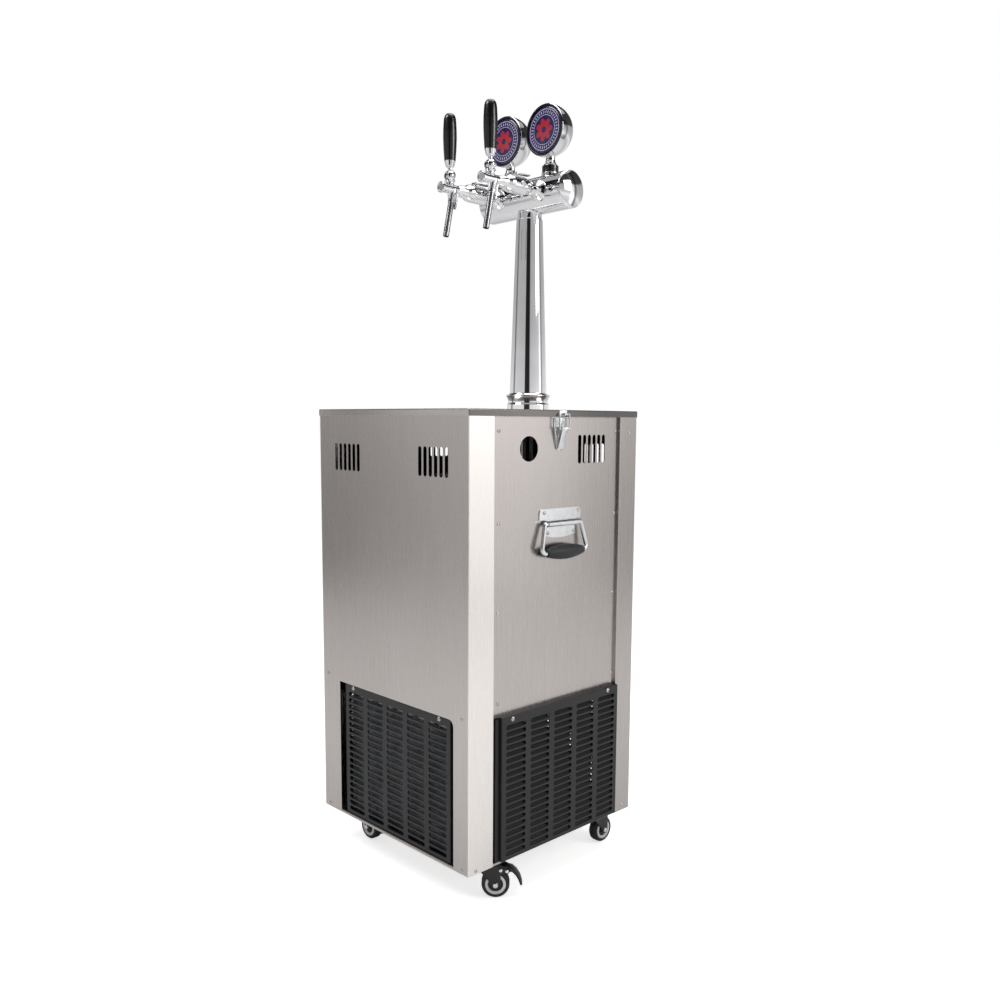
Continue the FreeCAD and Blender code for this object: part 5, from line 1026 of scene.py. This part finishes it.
# each caster's x, y and turn in degrees
casterSpots = {"front_right": (176, -150, 45.7), "front_left": (-176, -150, 0),
               "back_right": (176, 150, 90), "back_left": (-176, 150, 90)}
caster = {"trail": 26.0, "axleUp": 25.0, "rivets": ((46.0, 51.0), (35.0, 52.5))}
casterForms = {
    "tyre": ([(18.4, -8.8), (20, -9.5), (22.4, -9.5), (25, -6.4), (25, 6.4), (22.4, 9.5), (20, 9.5), (18.4, 8.8)],
             [0, 1.5, 1.5, 2.6, 2.6, 1.5, 1.5, 0]),
    "ring": ([(13.2, -8.2), (13.8, -9.1), (18.4, -9.1), (18.4, 9.1), (13.8, 9.1), (13.2, 8.2)],
             [0, 0.4, 0, 0, 0.4, 0]),
    "hub": ([(3.05, -9.4), (6, -9.4), (7, -6.6), (11.8, -6.2), (13.3, -7.6), (13.3, 7.6), (11.8, 6.2), (7, 6.6),
             (6, 9.4), (3.05, 9.4)], 0.5),
    "axleHead": ([(0, 12.8), (5.2, 12.8), (5.2, 14.2), (3.6, 15.2), (0, 15.4)], [0, 0.1, 0.7, 0.6, 0]),
    "rivet": ([(0, 12.8), (3.1, 12.8), (3.1, 13.8), (2.2, 14.8), (0, 15)], [0, 0.1, 0.5, 0.6, 0])}


def casterPieces(corner, x, y, turn):
    # wheel of tread, ring and hub on its axle; u runs from the swivel along the trail
    angle, forms = math.radians(turn), casterForms
    trail = np.array([math.cos(angle), math.sin(angle), 0])
    axle = np.array([-math.sin(angle), math.cos(angle), 0])

    def spotAt(u, z):
        return np.array([x, y, z]) + trail * u

    softened(corner + "_fork", powderBlack, 0.4)
    if corner.startswith("front"):
        softened(corner + "_pedal", powderBlack, 0.5)
    centre = spotAt(caster["trail"], caster["axleUp"])
    tyre = lathe(corner + "_tyre", *forms["tyre"], centre, axle, treadRubber, 96, True)
    ring = lathe(corner + "_ring", *forms["ring"], centre, axle, ringNylon, 80, True)
    hub = lathe(corner + "_hub", *forms["hub"], centre, axle, powderBlack, 64, True)
    standFor(corner + "_wheel", tyre, ring, hub)
    heads = [lathe("%s_axle_head_%d" % (corner, side), *forms["axleHead"], centre, side * axle, zinc, 32)
             for side in (-1, 1)]
    if corner.startswith("front"):
        heads += [lathe("%s_rivet_%d_%d" % (corner, side, k), *forms["rivet"], spotAt(*place), side * axle, zinc, 24)
                  for side in (-1, 1) for k, place in enumerate(caster["rivets"])]
    goWith(corner + "_fork", *heads)


softened("caster_mounts", zinc, 0.3)
for corner, (x, y, turn) in casterSpots.items():
    casterPieces(corner, x, y, turn)
print("casters ready")

# light levels on the floor and backdrop: as seen, in reflections, and as light on the object
studioLevels = {"floorSeen": 0.66, "floorGlossy": 0.03, "worldSeen": 1.0, "worldGlossy": 0.3, "worldDiffuse": 0.45}
floorSpread = 30
floorColor = "#e9e9e9"
# brightness of the round grey wall, seen only in reflections: ringLevel by azimuth in degrees
# times heightLevel by height in metres, each read off straight lines between its pairs
ringLevel = [(-180, 0.5), (-156, 0.5), (-151, 0.1), (-147, 0.12), (-142, 0.31), (-134, 0.52), (-68, 0.5),
             (-65, 0.02), (-38, 0.015), (-34, 0.3), (-31, 0.5), (28, 0.6), (36, 1.1), (42, 1.1), (45, 0.7),
             (49, 0.2), (54, 0.2), (58, 0.5), (110, 0.55), (150, 0.4), (180, 0.5)]
heightLevel = [(0.0, 1.15), (0.6, 1.35), (1.0, 1.85), (1.25, 1.35), (1.6, 1.0), (2.3, 0.85), (2.5, 0.12),
               (4.5, 0.06)]
wallSize = {"radius": 3.2, "high": 4.3, "steps": 96}
# place, aim, size and watts of each soft lamp
softboxes = {
    "keyBox": ((-1.1, -2.0, 3.4), (0, 0, 0.7), (1.4, 1.4), 48),
    "sideBox": ((2.6, 1.1, 2.1), (0, 0, 0.6), (1.2, 1.2), 26),
    "topBox": ((0.2, 0.3, 3.2), (0, 0, 0.8), (1.8, 1.8), 34)}
photoCamera = {"sensor": 36, "lens": 33.82, "shift": (-0.009546, 0.026912), "place": (1.34598, -1.22715, 0.83994),
               "right": (0.69809973, 0.71597032, 0.00657703), "up": (-0.08476156, 0.07351775, 0.99368537),
               "back": (0.71096571, -0.69424897, 0.11200949)}


def seenWhite(tree, seenLevel, glossyLevel):
    # level on camera and transmission rays, and its own level on glossy rays
    path = addNode(tree, "ShaderNodeLightPath").outputs
    direct = mathOn(tree, "MAXIMUM", path["Is Camera Ray"], path["Is Transmission Ray"])
    seen = mathOn(tree, "MULTIPLY", direct, seenLevel)
    return mathOn(tree, "MAXIMUM", seen, mathOn(tree, "MULTIPLY", path["Is Glossy Ray"], glossyLevel))


def stageMesh(name, verts, faces, material):
    mesh = bpy.data.meshes.new(name)
    mesh.from_pydata(verts, [], faces)
    mesh.materials.append(material)
    piece = bpy.data.objects.new(name, mesh)
    scene.collection.objects.link(piece)
    return piece


def studioFloor():
    # plain pale floor that keeps the object's shadow
    s = floorSpread
    material, tree, shader, place = newMaterial("studioFloorPaint", {"Base Color": floorColor, "Roughness": 0.9})
    shader.inputs["Emission Color"].default_value = (1, 1, 1, 1)
    level = seenWhite(tree, studioLevels["floorSeen"], studioLevels["floorGlossy"])
    tree.links.new(level, shader.inputs["Emission Strength"])
    stageMesh("studioFloor", [(-s, -s, 0), (s, -s, 0), (s, s, 0), (-s, s, 0)], [[0, 1, 2, 3]], material)


def paleWorld():
    world = bpy.data.worlds.new("paleStudio")
    scene.world = world
    world.use_nodes = True
    tree = world.node_tree
    background = tree.nodes["Background"]
    background.inputs["Color"].default_value = (1, 1, 1, 1)
    white = seenWhite(tree, studioLevels["worldSeen"], studioLevels["worldGlossy"])
    tree.links.new(mathOn(tree, "MAXIMUM", white, studioLevels["worldDiffuse"]), background.inputs["Strength"])


def levelRamp(tree, source, pairs, low, high):
    # colour ramp whose grey runs through half of each pair's level, its input scaled from low..high
    scaled = addNode(tree, "ShaderNodeMapRange", {"From Min": low, "From Max": high}, {"Value": source})
    ramp = addNode(tree, "ShaderNodeValToRGB", links={"Fac": scaled.outputs["Result"]})
    while len(ramp.color_ramp.elements) < len(pairs):
        ramp.color_ramp.elements.new(0.5)
    for stop, (place, grey) in zip(ramp.color_ramp.elements, pairs):
        stop.position = (place - low) / (high - low)
        stop.color = (grey / 2, grey / 2, grey / 2, 1)
    return ramp.outputs["Color"]


def studioWall():
    # open cylinder round the object that only reflections see
    w = wallSize
    count = w["steps"] + 1
    ring = arcPoints(0, 0, w["radius"], -180, 180, w["steps"])
    verts = np.vstack([np.column_stack([ring, np.full(count, z)]) for z in (0.0, w["high"])])
    material, tree, shader, place = newMaterial(
        "studioWallPaint", {"Base Color": "#000000", "Roughness": 1.0, "Specular IOR Level": 0.0})
    parts = addNode(tree, "ShaderNodeSeparateXYZ", links={"Vector": place.outputs["Object"]}).outputs
    azimuth = mathOn(tree, "MULTIPLY", mathOn(tree, "ARCTAN2", parts["Y"], parts["X"]), 180 / math.pi)
    around = levelRamp(tree, azimuth, ringLevel, -180, 180)
    upward = levelRamp(tree, parts["Z"], heightLevel, 0, heightLevel[-1][0])
    # the two ramps hold half levels, so their product is a quarter of the wall's level
    level = mathOn(tree, "MULTIPLY", mathOn(tree, "MULTIPLY", around, upward), 4.0)
    shader.inputs["Emission Color"].default_value = (1, 1, 1, 1)
    tree.links.new(level, shader.inputs["Emission Strength"])
    wall = stageMesh("studioWall", verts.tolist(), wallFaces(0, count, count)[:-1], material)
    for hidden in ("camera", "diffuse", "shadow", "transmission", "volume_scatter"):
        setattr(wall, "visible_" + hidden, False)


def softbox(name, place, aim, size, watts):
    light = bpy.data.lights.new(name, "AREA")
    light.shape = "RECTANGLE"
    light.size, light.size_y = size
    light.energy = watts
    lamp = bpy.data.objects.new(name, light)
    lamp.location = place
    lamp.rotation_euler = (Vector(aim) - Vector(place)).to_track_quat("-Z", "Y").to_euler()
    scene.collection.objects.link(lamp)


def viewFrom(p):
    # a camera whose right, up and back directions and place are its matrix's columns
    camera = bpy.data.cameras.new("photoCamera")
    camera.sensor_width = p["sensor"]
    camera.lens = p["lens"]
    camera.shift_x, camera.shift_y = p["shift"]
    eye = bpy.data.objects.new("photoCamera", camera)
    turned = Matrix((p["right"], p["up"], p["back"])).transposed()
    eye.matrix_world = Matrix.Translation(p["place"]) @ turned.to_4x4()
    scene.collection.objects.link(eye)
    scene.camera = eye


studioFloor()
paleWorld()
studioWall()
for name, values in softboxes.items():
    softbox(name, *values)
viewFrom(photoCamera)
scene.view_settings.view_transform = "Standard"
print("studio ready")
